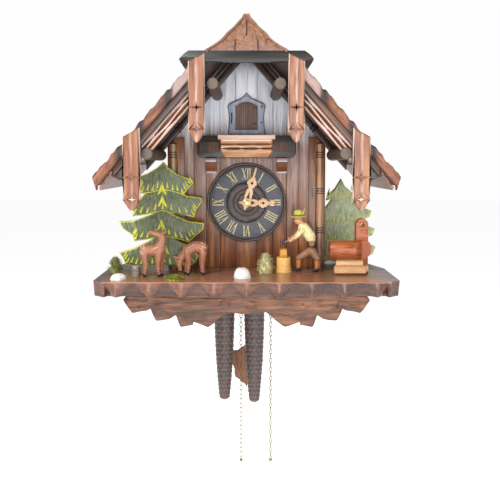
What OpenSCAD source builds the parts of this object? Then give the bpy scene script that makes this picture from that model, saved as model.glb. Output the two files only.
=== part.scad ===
// Chalet cuckoo clock with a one-day movement, hung on a wall by the plate on its back.
// Frame: origin at the hanger hole in the back face, +X to the right seen from the front,
// +Z up, and the front faces -Y. The wall is the plane y = 0.

/* [House] */
// Half width of the house over its side walls
house_half_w = 80; // [76:1:84]
// Depth of the house from the wall to the face of its front panel
house_depth = 88; // [84:1:92]
// Thickness of the wooden front panel
panel_t = 8; // [6:0.5:9]
// Top face of the platform below the hanger hole
platform_z = -180; // [-184:1:-178]

/* [Roof] */
// Slope of the main roof in degrees
roof_angle = 48.5; // [47:0.5:50]
// Height of the roof's outer surface at the ridge
ridge_z = 67; // [65:0.5:69]
// Half width of the roof at its eaves
eave_half_w = 134; // [128:1:138]
// Depth of the roof from the wall to the gable front
roof_depth = 183; // [176:1:190]
// Half width of the hipped cap over its pointed tips
cap_half_w = 58; // [54:1:60]

/* [Platform] */
// Width of the platform
platform_w = 281; // [265:1:285]
// Depth of the platform from the wall
platform_depth = 172; // [165:1:178]
// Thickness of the platform
platform_t = 14; // [12:0.5:16]

/* [Dial] */
// Height of the dial centre
dial_z = -113; // [-114:0.5:-112]
// Outer radius of the dial
dial_r = 40.3; // [38:0.1:41]
// Length of the minute hand from its hole
minute_len = 37; // [34:0.5:38]
// Length of the hour hand from its hole
hour_len = 28.5; // [25:0.5:30]
// Minute hand at rest, degrees clockwise from twelve
minute_at = 15.7; // [0:0.1:359]
// Hour hand at rest, degrees clockwise from twelve
hour_at = 91.3; // [0:0.1:359]

/* [Movement] */
// Pitch radius of a chain wheel
chain_r = 9; // [8.5:0.1:9]
// Middle of the left chain wheel, which drives the hands
going_x = -15; // [-16:0.5:-14]
// Middle of the right chain wheel, which drives the strike
strike_x = 17.5; // [17:0.5:18]
// Height of both chain wheels
chain_z = -145; // [-146:0.5:-144]
// Fall of a weight, which is also the rise of its free chain end
weight_fall = 150; // [60:5:150]

/* [Hidden] */

$fn = 48;

// House planes, as y of their faces
front_y = -house_depth;
panel_back_y = front_y + panel_t;
wall_t = 6;
back_t = 8;

// Roof section: shingles lie on a board, and both follow the same slope
roof_slope = tan(roof_angle);
roof_thick_z = 13;
shingle_thick_z = 6;
roof_front_y = -roof_depth;
rafter_top = roof_thick_z + 5;
rafter_foot = rafter_top + 15;
cap_back_y = -96;
cap_peak_y = -125;
cap_edge_x = 44;
hip_foot_z = 14.5;
hip_slope = (ridge_z - roof_thick_z / 2 - hip_foot_z) / (roof_depth + cap_peak_y);

function roof_outer(x) = ridge_z - roof_slope * abs(x);
function roof_under(x) = roof_outer(x) - roof_thick_z;
function hip_z(y) = hip_foot_z + hip_slope * (y + roof_depth);

module slope_strip(x0, x1, top, bottom) {
    polygon([
        [x0, roof_outer(x0) - top], [x1, roof_outer(x1) - top],
        [x1, roof_outer(x1) - bottom], [x0, roof_outer(x0) - bottom],
    ]);
}

// Turns a drawing in X and Z into a board whose back face lies at y = back
module board(back, t) {
    translate([0, back, 0]) rotate([90, 0, 0]) linear_extrude(t) children();
}

// Turns a drawing in Y and Z into a board from x = left
module side_board(left, t) {
    translate([left, 0, 0]) rotate([90, 0, 90]) linear_extrude(t) children();
}

// A round bar along Y from y = back to y = back - len
module bar_y(x, z, back, len, r) {
    translate([x, back, z]) rotate([90, 0, 0]) cylinder(r = r, h = len);
}

module bar_x(x, z, y, len, r) {
    translate([x, y, z]) rotate([0, 90, 0]) cylinder(r = r, h = len, $fn = 24);
}

module both_sides() {
    children();
    mirror([1, 0, 0]) children();
}

module both_sides_flat() {
    children();
    mirror([1, 0]) children();
}

// Straight-sided strut of rectangular section between two points of the X-Z plane
module strut(a, b, w) {
    d = b - a;
    translate(a) rotate(atan2(d[1], d[0])) translate([0, -w / 2]) square([norm(d), w]);
}

// ---- house ----

module gable_outline(half_w, foot) {
    polygon([
        [-half_w, foot], [half_w, foot], [half_w, roof_under(half_w)],
        [0, roof_under(0)], [-half_w, roof_under(half_w)],
    ]);
}

hanger_r = 4;
hanger_t = 1.5;
back_screws = [for (x = [-69, 69], z = [-45, -110, -173]) [x, z]];

module back_board() {
    color("#a9794b") difference() {
        board(0, back_t) gable_outline(house_half_w - wall_t - 0.2, platform_z);
        bar_y(0, 0, 0.5, back_t + 1, 8);
        board(0.5, hanger_t + 0.5) translate([-15, -13]) square([30, 26]);
        for (p = back_screws) bar_y(p[0], p[1], 0.5, 2, 2.7);
    }
}

module hanger_plate() {
    color("#b8b4a6") difference() {
        board(0, hanger_t) translate([-14.8, -12.8]) square([29.6, 25.6]);
        bar_y(0, 0, 1, hanger_t + 2, hanger_r);
        for (x = [-11, 11]) bar_y(x, -9, 1, hanger_t + 2, 1.6);
    }
}

module side_walls() {
    color("#8a5a34") both_sides()
        side_board(house_half_w - wall_t, wall_t)
            polygon([
                [0, platform_z], [panel_back_y, platform_z],
                [panel_back_y, roof_under(house_half_w)], [0, roof_under(house_half_w)],
            ]);
}

// Round-topped doorway in the front panel
door_half_w = 10.5;
door_foot_z = -38.5;
door_spring_z = -15.5;
door_top_z = -11.3;
door_gap = 0.35;

module door_outline(grow) {
    rise = door_top_z - door_spring_z;
    arch_r = (door_half_w * door_half_w + rise * rise) / (2 * rise);
    intersection() {
        translate([-door_half_w - grow, door_foot_z - grow])
            square([2 * (door_half_w + grow), door_top_z - door_foot_z + 2 * grow]);
        translate([0, door_top_z - arch_r]) circle(r = arch_r + grow, $fn = 96);
    }
}

module house_front() {
    color("#9a8f8c") difference() {
        board(panel_back_y, panel_t) gable_outline(house_half_w, platform_z);
        board(panel_back_y + 1, panel_t + 2) door_outline(door_gap);
        bar_y(0, dial_z, panel_back_y + 1, panel_t + 2, 4.5);
    }
}

post_w = 17;
post_t = 7;
post_top_z = -46.6;

module corner_posts() {
    color("#bbab84") both_sides() difference() {
        union() {
            board(front_y, 3)
                translate([house_half_w - post_w, platform_z])
                    square([post_w, post_top_z - platform_z]);
            intersection() {
                translate([house_half_w - 5.5, front_y - 2, platform_z])
                    cylinder(r = 5.2, h = post_top_z - platform_z);
                board(front_y - 2.5, 5)
                    translate([house_half_w - post_w, platform_z])
                        square([post_w, post_top_z - platform_z]);
            }
        }
        // The tops stop under the rafters
        board(front_y + 1, post_t + 10)
            slope_strip(house_half_w - post_w, house_half_w + 1, rafter_top, rafter_foot + 0.3);
    }
}

// ---- roof ----

// Everything below the plane in which the hipped cap cuts off the gable
module below_hip(lift) {
    side_board(-200, 400)
        polygon([
            [10, -300], [10, 120], [cap_peak_y, 120], [cap_peak_y, hip_z(cap_peak_y) + lift],
            [-210, hip_z(-210) + lift], [-210, -300],
        ]);
}

module roof_boards() {
    color("#5a3a26") both_sides() intersection() {
        board(0, roof_depth)
            slope_strip(0.01, eave_half_w - 4, shingle_thick_z, roof_thick_z);
        below_hip(0);
    }
}

// Courses of shingles: each is thick at its lower end and lies on the next one down
course_count = 3;
course_pitch = (eave_half_w - cap_edge_x) / course_count;
course_step = 2.2;

module shingle_course(i) {
    x0 = cap_edge_x + i * course_pitch;
    x1 = x0 + course_pitch;
    board(0, roof_depth)
        polygon([
            [x0, roof_outer(x0) - course_step], [x1, roof_outer(x1)],
            [x1, roof_outer(x1) - shingle_thick_z], [x0, roof_outer(x0) - shingle_thick_z],
        ]);
}

module shingles() {
    color("#9c6d57") both_sides() union() {
        for (i = [0 : course_count - 1]) shingle_course(i);
        // Upper course, behind the cap
        board(0, -cap_back_y - 0.5)
            slope_strip(0.01, cap_edge_x, course_step, shingle_thick_z);
        board(0, roof_depth) polygon([
            [eave_half_w - 4, roof_outer(eave_half_w - 4) - shingle_thick_z + 1],
            [eave_half_w, roof_outer(eave_half_w) - 1],
            [eave_half_w - 3, roof_outer(eave_half_w) - 6],
            [eave_half_w - 4, roof_outer(eave_half_w - 4) - roof_thick_z + 1.6],
        ]);
    }
}

module cap_corner(x, y, z) {
    translate([x, y, z]) cube([0.8, 0.8, 0.8], center = true);
}

// Hipped cap astride the ridge, with eaves that run out into pointed tips
module roof_cap() {
    cap_front_y = roof_front_y - 3;
    clear = 0.25;
    color("#9c735c") difference() {
        hull() {
            cap_corner(0, cap_peak_y, ridge_z + 1);
            cap_corner(0, cap_back_y, ridge_z + 1);
            for (side = [-1, 1]) {
                cap_corner(side * cap_half_w, cap_front_y + 1, 16);
                cap_corner(side * (cap_edge_x + 4), cap_front_y + 1, hip_foot_z + 0.6);
                cap_corner(side * (cap_edge_x + 10), cap_back_y, roof_outer(cap_edge_x + 10) + 2);
                cap_corner(side * 34, cap_front_y, 22.5);
            }
        }
        intersection() {
            board(5, roof_depth + 60) union() {
                polygon([
                    [-90, roof_outer(90) + clear], [-cap_edge_x, roof_outer(cap_edge_x) + clear],
                    [-cap_edge_x, -80], [-90, -80],
                ]);
                polygon([
                    [90, roof_outer(90) + clear], [cap_edge_x, roof_outer(cap_edge_x) + clear],
                    [cap_edge_x, -80], [90, -80],
                ]);
                polygon([
                    [-cap_edge_x - 1, roof_outer(cap_edge_x + 1) - shingle_thick_z + clear],
                    [0, ridge_z - shingle_thick_z + clear],
                    [cap_edge_x + 1, roof_outer(cap_edge_x + 1) - shingle_thick_z + clear],
                    [cap_edge_x + 1, -80], [-cap_edge_x - 1, -80],
                ]);
            }
            below_hip(clear);
        }
    }
}

// Widths of the gable boards, measured upright
rake_w = 8;
fascia_w = 15;
log_r = 5.8;
log_places = [[29.5, -4.5], [87, -65]];

module log_cuts() {
    for (p = log_places) bar_y(p[0], p[1], 0, 200, log_r + 0.02);
}

module gable_boards() {
    rake_top = roof_thick_z;
    color("#482a18") both_sides() intersection() {
        board(roof_front_y + 4.5, 4)
            slope_strip(0.02, eave_half_w - 18, rake_top, rake_top + rake_w);
        below_hip(-0.5);
    }
    color("#b98462") both_sides() difference() {
        intersection() {
            board(roof_front_y + 9, 4.4)
                slope_strip(0.02, 92, rake_top, rake_top + rake_w + fascia_w);
            below_hip(-0.5);
        }
        log_cuts();
    }
}

module gable_rafters() {
    color("#3a2114") both_sides() difference() {
        board(front_y - 0.01, 9)
            slope_strip(0.02, 102, rafter_top, rafter_foot);
        log_cuts();
    }
}

module purlin_logs() {
    color("#5b3c28") both_sides()
        for (p = log_places) bar_y(p[0], p[1], front_y, roof_depth + front_y - 2.5, log_r);
}

// Four-point star pierced through a pendant board
module star(x, z, r) {
    translate([x, z]) polygon([
        for (i = [0 : 7]) let (rr = i % 2 == 0 ? r : r * 0.28) rr * [cos(i * 45), sin(i * 45)],
    ]);
}

pendant_t = 4;
pendants = [
    // middle x, top z at its middle, foot z, half width, upper star z, lower star z
    [43, -2, -56, 7, -25.5, -44.4],
    [99.5, -64, -115, 7.5, -85.7, -105],
];

module pendant_boards() {
    color("#c1a298") both_sides() for (p = pendants)
        board(roof_front_y, pendant_t) difference() {
            polygon([
                [p[0] - p[3], p[1] + 4], [p[0] - p[3], p[2] + 8], [p[0] - 2, p[2]],
                [p[0] + 2, p[2]], [p[0] + p[3], p[2] + 8],
                [p[0] + p[3], p[1] + 4 - 2 * p[3] * roof_slope],
            ]);
            star(p[0], p[4], 3.8);
            star(p[0], p[5], 3.8);
        }
}

// ---- platform ----

chain_slot = [-29, -62, 61, 14];
pendulum_slot = [-14, -34, 28, 22];

module platform_outline() {
    half = platform_w / 2;
    polygon([
        [-house_half_w, 0], [-half + 16, -46], [-half, -96], [-half + 0.5, -platform_depth + 9],
        [-half + 10, -platform_depth], [half - 10, -platform_depth],
        [half - 0.5, -platform_depth + 9], [half, -96], [half - 16, -46], [house_half_w, 0],
    ]);
}

module base_platform() {
    color("#75493a") difference() {
        translate([0, 0, platform_z - platform_t]) linear_extrude(platform_t) difference() {
            platform_outline();
            translate([chain_slot[0], chain_slot[1]]) square([chain_slot[2], chain_slot[3]]);
            translate([pendulum_slot[0], pendulum_slot[1]])
                square([pendulum_slot[2], pendulum_slot[3]]);
        }
        // Chip-carved lower edge along the front
        for (i = [-4 : 3])
            translate([(i + 0.5) * 31, -platform_depth, platform_z - platform_t])
                rotate([45, 0, 0]) cube([12, 7, 7], center = true);
    }
}

apron_back_y = -145;
apron_t = 5;

// Half outline of one board of the apron: tip, foot and middle heights
module apron_board(i, half, inner, foot, middle) {
    top = platform_z - platform_t;
    board(apron_back_y, (3 - i) * apron_t) polygon([
        [-half + 3, top], [-half - 2, top - 6], [-half + 8, foot], [-half + 20, foot + 2],
        [-inner - 14, foot + 5],
        [-inner, foot - 1], [-inner / 2, middle + 2], [0, middle], [inner / 2, middle + 2],
        [inner, foot - 1], [inner + 14, foot + 5], [half - 20, foot + 2], [half - 8, foot],
        [half + 2, top - 6], [half - 3, top],
    ]);
}

module apron_boards() {
    color("#8b5535") {
        apron_board(0, 113, 70, -212, -211);
        apron_board(1, 92, 52, -221, -214);
        apron_board(2, 70, 36, -228, -216);
    }
}

// ---- balcony ----

balcony_y = -113;

module balcony_board() {
    color("#221713") board(front_y - 4.2, 8) polygon([
        [-49.5, -45.6], [49.5, -45.6], [49.5, -62], [44, -68], [-44, -68], [-49.5, -62],
    ]);
}

module balcony_trough() {
    color("#ab774f") union() {
        board(balcony_y + 12.6, 12.6) polygon([
            [-25.5, -50], [25.5, -50], [25.5, -63], [21, -67.3], [-21, -67.3], [-25.5, -63],
        ]);
        board(balcony_y + 12.6, 13.6) translate([-28, -49.9]) square([56, 4.2]);
    }
}

module balcony_brackets() {
    color("#6b4a31") both_sides() side_board(30, 11) polygon([
        [front_y, -68.1], [front_y - 17, -68.1], [front_y - 15, -75], [front_y - 4, -83.5],
        [front_y, -83.5],
    ]);
}

// ---- doorway ----

module door_frame() {
    color("#979fb1") board(front_y, 3.5) difference() {
        polygon([
            [-18.3, -44], [-17, -28], [-18.6, -17], [-16.5, -13.5], [-5, -8], [0, -3],
            [5, -8], [16.5, -13.5], [18.6, -17], [17, -28], [18.3, -44],
        ]);
        door_outline(1);
    }
}

door_front_y = front_y - 1;
door_t = 3;
door_pin_x = 10.8;

module bird_door() {
    color("#785d55") union() {
        board(door_front_y + door_t, door_t) door_outline(0);
        for (z = [-17, -33]) bar_x(door_half_w - 4, z, door_front_y - 0.4, 4.3, 0.4);
        for (z = [-17, -33])
            translate([door_pin_x, door_front_y - 0.4, z - 1.2]) cylinder(r = 0.55, h = 2.4);
    }
}

latch_x = -14.9;
latch_z = -23.5;

// Wire latch on its pin, turned down and clear of the door
module door_latch() {
    color("#15100e") union() {
        bar_y(latch_x, latch_z, front_y - 3.5, 2.2, 0.8);
        translate([latch_x, front_y - 5.1, latch_z - 10]) cylinder(r = 0.6, h = 10, $fn = 24);
    }
}

// ---- dial and hands ----

boss_r = 19.7;

module dial_face() {
    color("#3a3532") translate([0, front_y, dial_z]) rotate([90, 0, 0]) difference() {
        rotate_extrude($fn = 96) polygon([
            [0, 0], [dial_r, 0], [dial_r, 3.4], [dial_r - 1.4, 4.2], [dial_r - 3, 3.4],
            [boss_r + 1.5, 3.4], [boss_r, 4.6], [13.8, 4.6], [13, 4.1], [10, 4.6], [9.3, 4.1],
            [7, 4.8], [0, 4.8],
        ]);
        translate([0, 0, -1]) cylinder(r = 3.6, h = 8);
    }
}

numeral_r0 = 23;
numeral_r1 = 34.4;
// Strokes of each numeral: V is drawn as two strokes, X as two crossed strokes
numeral_marks = [
    "XII", "I", "II", "III", "IIII", "V", "VI", "VII", "VIII", "IX", "X", "XI",
];
mark_gap = 2.3;

function mark_width(c) = c == "I" ? 1 : 2;
function marks_before(word, k) = k == 0 ? 0 : marks_before(word, k - 1) + mark_width(word[k - 1]);

module stroke(x0, x1, w) {
    polygon([
        [x0 - w / 2, numeral_r0], [x0 + w / 2, numeral_r0],
        [x1 + w / 2, numeral_r1], [x1 - w / 2, numeral_r1],
    ]);
}

module numeral(word) {
    total = marks_before(word, len(word));
    for (k = [0 : len(word) - 1]) {
        x = (marks_before(word, k) + mark_width(word[k]) / 2 - total / 2) * mark_gap;
        if (word[k] == "I") stroke(x, x, 1.3);
        if (word[k] == "V") {
            stroke(x, x - 1.7, 1.3);
            stroke(x, x + 1.7, 0.7);
        }
        if (word[k] == "X") {
            stroke(x + 1.7, x - 1.7, 1.3);
            stroke(x - 1.7, x + 1.7, 0.7);
        }
    }
}

module numerals() {
    color("#b4a785") translate([0, front_y - 3.4, dial_z]) rotate([90, 0, 0])
        linear_extrude(0.9) for (h = [0 : 11]) rotate(-30 * h) numeral(numeral_marks[h]);
}

hour_y = front_y - 6.2;
minute_y = front_y - 7.8;
hand_t = 0.8;

// A pierced wooden hand of the cuckoo pattern, pointing up from its hole
module hand_outline(len, crown, hole) {
    difference() {
        union() {
            circle(r = 4);
            polygon([[-1.2, 3], [1.2, 3], [0.9, len - 1], [0, len], [-0.9, len - 1]]);
            polygon([
                [0, crown - 8], [3.4, crown - 4.5], [4.6, crown], [2.4, crown + 3.6],
                [0, crown + 6.5], [-2.4, crown + 3.6], [-4.6, crown], [-3.4, crown - 4.5],
            ]);
            polygon([[-2, -3], [0, -8.5], [2, -3]]);
        }
        circle(r = hole);
        translate([1.9, crown]) circle(r = 1.1);
        translate([-1.9, crown]) circle(r = 1.1);
    }
}

module hand(back, at, len, crown, hole) {
    color("#cca889") translate([0, back, dial_z]) rotate([90, 0, 0]) rotate(-at)
        linear_extrude(hand_t) hand_outline(len, crown, hole);
}

hour_tube_r = 2.8;
minute_arbor_r = 1.5;

module hour_hand() {
    hand(hour_y, hour_at, hour_len, 18, hour_tube_r);
}

module minute_hand() {
    hand(minute_y, minute_at, minute_len, 21.6, minute_arbor_r);
}

module hand_nut() {
    color("#b8923f") translate([0, minute_y - hand_t, dial_z]) rotate([90, 0, 0])
        difference() {
            cylinder(r = 2.6, h = 2.4);
            translate([0, 0, -1]) cylinder(r = minute_arbor_r, h = 2.6);
        }
}

// ---- movement ----

plate_t = 1.5;
back_plate_y = -34.5;
front_plate_y = -73.5;
plate_half_w = 46;
plate_top_z = -60;
plate_foot_z = -174;
pillar_places = [[-41, -65], [43, -65], [-41, -169], [43, -169]];

// Wheel planes, as y of each wheel's back face
great_y = -43.5;
third_y = -46.8;
escape_y = -38.3;
centre_y = -62.5;
strike_y = -69.5;
motion_y = -76.2;
wheel_t = 1.2;

// Tooth counts
great_n = 56;
centre_pinion_n = 28;
centre_n = 72;
small_pinion_n = 7;
third_n = 70;
escape_n = 42;
strike_pinion_n = 14;
pin_n = 60;
fly_pinion_n = 10;
cannon_n = 12;
minute_n = 36;
minute_pinion_n = 10;
hour_n = 40;

// Centres of the arbors in X and Z
dial_c = [0, dial_z];
going_c = [going_x, chain_z];
strike_c = [strike_x, chain_z];
great_m = 2 * norm(dial_c - going_c) / (great_n + centre_pinion_n);
third_m = 0.6;
third_c = dial_c + third_m * (centre_n + small_pinion_n) / 2 * [cos(129), sin(129)];
escape_m = 0.5;
escape_d = escape_m * (third_n + small_pinion_n) / 2;
escape_c = [0, third_c[1] + sqrt(escape_d * escape_d - third_c[0] * third_c[0])];
pin_c = strike_c + great_m * (great_n + strike_pinion_n) / 2 * [cos(57.5), sin(57.5)];
fly_m = 0.6;
fly_c = pin_c + fly_m * (pin_n + fly_pinion_n) / 2 * [cos(73), sin(73)];
cannon_m = 0.5;
motion_d = cannon_m * (cannon_n + minute_n) / 2;
motion_c = dial_c + motion_d * [cos(35), sin(35)];
hour_m = 2 * motion_d / (minute_pinion_n + hour_n);
anchor_c = [0, -66.5];
hammer_c = [43.5, -84];
pendulum_z = -132;

function aim(a, b) = atan2(b[1] - a[1], b[0] - a[0]);
// Turn of wheel b that sets one of its gaps on wheel a's tooth along the line of centres
function in_mesh(turn_a, n_a, n_b, line) = line + 180 - n_a / n_b * (turn_a - line) - 180 / n_b;

centre_pinion_turn = in_mesh(0, great_n, centre_pinion_n, aim(going_c, dial_c));
third_turn = in_mesh(0, centre_n, small_pinion_n, aim(dial_c, third_c));
escape_turn = in_mesh(0, third_n, small_pinion_n, aim(third_c, escape_c));
strike_pinion_turn = in_mesh(0, great_n, strike_pinion_n, aim(strike_c, pin_c));
fly_turn = in_mesh(0, pin_n, fly_pinion_n, aim(pin_c, fly_c));
minute_turn = in_mesh(0, cannon_n, minute_n, aim(dial_c, motion_c));
hour_turn = in_mesh(0, minute_pinion_n, hour_n, aim(motion_c, dial_c));

// Plain teeth with generous backlash
module gear_outline(n, m) {
    r = n * m / 2;
    pitch = 360 / n;
    polygon([
        for (i = [0 : n - 1]) let (a = i * pitch) each [
            (r - 1.15 * m) * [cos(a - 0.3 * pitch), sin(a - 0.3 * pitch)],
            (r + 0.8 * m) * [cos(a - 0.1 * pitch), sin(a - 0.1 * pitch)],
            (r + 0.8 * m) * [cos(a + 0.1 * pitch), sin(a + 0.1 * pitch)],
            (r - 1.15 * m) * [cos(a + 0.3 * pitch), sin(a + 0.3 * pitch)],
        ],
    ]);
}

// A wheel with crossings: a rim, a hub and four spokes
module wheel_outline(n, m, hub) {
    rim = n * m / 2 - 1.15 * m - 1.6;
    difference() {
        gear_outline(n, m);
        difference() {
            circle(r = rim);
            circle(r = hub);
            for (a = [0 : 90 : 270]) rotate(a) translate([0, -0.9]) square([rim + 0.5, 1.8]);
        }
    }
}

// Sets a drawing of a wheel at its arbor: c is the arbor, back its back face
module on_arbor(c, back, t, turn = 0) {
    translate([c[0], back, c[1]]) rotate([90, 0, 0]) rotate(turn) linear_extrude(t) children();
}

module arbor(c, from, to, r) {
    bar_y(c[0], c[1], from, from - to, r);
}

// Arbor radii and the running clearance of their pivot holes
pivot_r = 1;
pivot_clear = 0.05;

module plate_outline() {
    difference() {
        translate([-plate_half_w, plate_foot_z])
            square([2 * plate_half_w, plate_top_z - plate_foot_z]);
        translate(dial_c) circle(r = minute_arbor_r + pivot_clear);
        for (c = [going_c, strike_c, third_c, escape_c, pin_c, fly_c, anchor_c, hammer_c])
            translate(c) circle(r = pivot_r + pivot_clear);
    }
}

perch_x = 1.5;
perch_z = -36;
perch_r = 1;

module movement_frame() {
    color("#c9a653") union() {
        board(back_plate_y, plate_t) plate_outline();
        board(front_plate_y, plate_t) plate_outline();
        for (p = pillar_places)
            bar_y(p[0], p[1], back_plate_y - plate_t, back_plate_y - plate_t - front_plate_y, 2);
        // Guide for the bird's perch rod, on a strap above the back plate
        difference() {
            union() {
                board(back_plate_y, plate_t)
                    translate([perch_x - 4, plate_top_z]) square([8, perch_z - plate_top_z + 4]);
                board(back_plate_y - plate_t, 12)
                    translate([perch_x - 3.5, perch_z - 4]) square([7, 8]);
            }
            bar_y(perch_x, perch_z, back_plate_y + 1, 20, perch_r + pivot_clear);
        }
        // Suspension post for the pendulum
        bar_y(0, pendulum_z, -17, -17 - back_plate_y, 1);
        // Feet that stand the plates on the back board
        for (x = [-40, 40]) for (z = [-66, -168])
            bar_y(x, z, -back_t, -back_t - back_plate_y, 2.5);
        // Stud for the minute wheel of the motion work
        bar_y(motion_c[0], motion_c[1], front_plate_y - plate_t, 4.4, 1);
    }
}

module great_wheel_on(c, back) {
    on_arbor(c, back, 1.5) wheel_outline(great_n, great_m, 5);
    arbor(c, back_plate_y - 0.1, front_plate_y - plate_t + 0.1, pivot_r);
}

module great_wheel() {
    color("#c9a653") union() {
        great_wheel_on(going_c, great_y);
        arbor(going_c, great_y - 1.5, great_y - 4, 3.5);
    }
}

module strike_wheel() {
    color("#c9a653") union() {
        great_wheel_on(strike_c, strike_y);
        arbor(strike_c, strike_y + 6, strike_y, 3.5);
    }
}

// Sprocket that the chain hangs over, free to turn on its arbor
module chain_wheel(c) {
    color("#b79a55") translate([c[0], -50.5, c[1]]) rotate([90, 0, 0]) difference() {
        rotate_extrude() polygon([
            [0, 0], [chain_r + 1.2, 0], [chain_r + 1.2, 1], [6.8, 1.6], [6.8, 7.4],
            [chain_r + 1.2, 8], [chain_r + 1.2, 9], [0, 9],
        ]);
        translate([0, 0, -1]) cylinder(r = pivot_r + pivot_clear, h = 12);
    }
}

module chain_wheel_left() {
    chain_wheel(going_c);
}

module chain_wheel_right() {
    chain_wheel(strike_c);
}

// Minute arbor: centre pinion, centre wheel and cannon pinion, out to the hand
module centre_wheel() {
    color("#c9a653") union() {
        on_arbor(dial_c, great_y, 1.5, centre_pinion_turn)
            gear_outline(centre_pinion_n, great_m);
        on_arbor(dial_c, centre_y, 1.5) wheel_outline(centre_n, third_m, 4);
        on_arbor(dial_c, motion_y, 1) gear_outline(cannon_n, cannon_m);
        arbor(dial_c, back_plate_y - 0.1, minute_y - hand_t - 1.6, minute_arbor_r);
    }
}

module third_wheel() {
    color("#c9a653") union() {
        on_arbor(third_c, third_y, wheel_t) wheel_outline(third_n, escape_m, 3);
        on_arbor(third_c, centre_y + 1, 3.5, third_turn) gear_outline(small_pinion_n, third_m);
        arbor(third_c, back_plate_y - 0.1, front_plate_y - plate_t + 0.1, pivot_r);
    }
}

module escape_wheel() {
    color("#c9a653") union() {
        on_arbor(escape_c, escape_y, wheel_t) difference() {
            polygon([
                for (i = [0 : escape_n - 1]) let (a = i * 360 / escape_n) each [
                    11 * [cos(a), sin(a)], 9 * [cos(a + 1), sin(a + 1)],
                    9 * [cos(a + 6), sin(a + 6)],
                ],
            ]);
            difference() {
                circle(r = 7.6);
                circle(r = 2.5);
                for (a = [0 : 90 : 270]) rotate(a) translate([0, -0.7]) square([8, 1.4]);
            }
        }
        on_arbor(escape_c, third_y + 0.8, 2.8, escape_turn) gear_outline(small_pinion_n, escape_m);
        arbor(escape_c, back_plate_y - 0.1, front_plate_y - plate_t + 0.1, pivot_r);
    }
}

// Anchor over the escape wheel, and its crutch wire behind the back plate
crutch_y = -29;
crutch_foot_z = -159;

module anchor() {
    color("#8d8f94") union() {
        on_arbor(anchor_c, escape_y, wheel_t) union() {
            circle(r = 2.6);
            both_sides_flat() {
                strut([0, 0], [11.6, -6.6], 2.4);
                strut([11.6, -6.6], [11.9, -10.5], 2);
            }
        }
        arbor(anchor_c, crutch_y + 0.8, front_plate_y - plate_t + 0.1, pivot_r);
        on_arbor(anchor_c, crutch_y + 0.6, wheel_t) union() {
            circle(r = 2);
            strut([0, 0], [5.5, -20], 1.2);
            strut([5.5, -20], [5.5, -84], 1.2);
            strut([5.5, -84], [3, crutch_foot_z - anchor_c[1]], 1.2);
            strut([3.4, crutch_foot_z - anchor_c[1]], [-3, crutch_foot_z - anchor_c[1]], 1.2);
        }
        for (x = [-2.4, 2.4]) bar_y(x, crutch_foot_z, -20.5, 8, 0.6);
    }
}

module pin_wheel() {
    color("#c9a653") union() {
        on_arbor(pin_c, third_y, wheel_t) wheel_outline(pin_n, fly_m, 4);
        on_arbor(pin_c, strike_y + 0.3, 2.2, strike_pinion_turn)
            gear_outline(strike_pinion_n, great_m);
        arbor(pin_c, back_plate_y - 0.1, front_plate_y - plate_t + 0.1, pivot_r);
        for (a = [0 : 60 : 300])
            bar_y(pin_c[0] + 13 * cos(a), pin_c[1] + 13 * sin(a), third_y + 2.4, 2.5, 0.6);
    }
}

// Two-vane fan that brakes the strike train
module fly() {
    color("#c9a653") union() {
        on_arbor(fly_c, third_y + 0.4, 2, fly_turn) gear_outline(fly_pinion_n, fly_m);
        arbor(fly_c, back_plate_y - 0.1, front_plate_y - plate_t + 0.1, pivot_r);
        on_arbor(fly_c, -51, 9) square([17, 0.6], center = true);
        on_arbor(fly_c, -51, 9) circle(r = 1.8);
    }
}

module minute_wheel() {
    color("#c9a653") on_arbor(motion_c, motion_y, 1, minute_turn) difference() {
        gear_outline(minute_n, cannon_m);
        circle(r = 1.05);
    }
    color("#c9a653") on_arbor(motion_c, motion_y - 1, 2.2) difference() {
        gear_outline(minute_pinion_n, hour_m);
        circle(r = 1.05);
    }
}

hour_wheel_y = motion_y - 2;

module hour_wheel() {
    color("#c9a653") difference() {
        union() {
            on_arbor(dial_c, hour_wheel_y, 1, hour_turn) gear_outline(hour_n, hour_m);
            arbor(dial_c, hour_wheel_y - 0.5, hour_y - hand_t, hour_tube_r);
        }
        arbor(dial_c, hour_wheel_y + 1, hour_y - hand_t - 1, minute_arbor_r + pivot_clear);
    }
}

// Hammer on the right, and the coiled gong that it strikes
gong_c = [0, -104];
gong_y = -13;

module strike_hammer() {
    color("#8d8f94") union() {
        arbor(hammer_c, -12, front_plate_y - plate_t + 0.1, pivot_r);
        on_arbor(hammer_c, -12, 1.6) union() {
            circle(r = 2.4);
            strut([0, 0], [0, -26], 1.8);
        }
        bar_y(hammer_c[0], hammer_c[1] - 27, -10.5, 5, 3);
    }
}

module gong_turn(r, shift, flip) {
    translate([gong_c[0] + shift, gong_y, gong_c[1]]) rotate([90, 0, 0])
        rotate(flip) rotate_extrude(angle = 180) translate([r, 0]) circle(r = 1, $fn = 16);
}

module gong() {
    color("#3b3f47") union() {
        for (k = [0 : 2]) {
            gong_turn(33 - 5 * k, 0, 0);
            gong_turn(30.5 - 5 * k, 2.5, 180);
        }
        bar_y(33, gong_c[1] + 0.5, -back_t, 6.2, 2.4);
    }
}

// Whistles stand on the platform at both sides, with their bellows on top
whistle_x0 = 52;
whistle_w = 18;
whistle_foot_z = -176;
whistle_top_z = -108;
whistle_front_y = -66;
whistle_back_y = -24;
lid_z = whistle_top_z + 12;
lid_t = 2;

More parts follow.
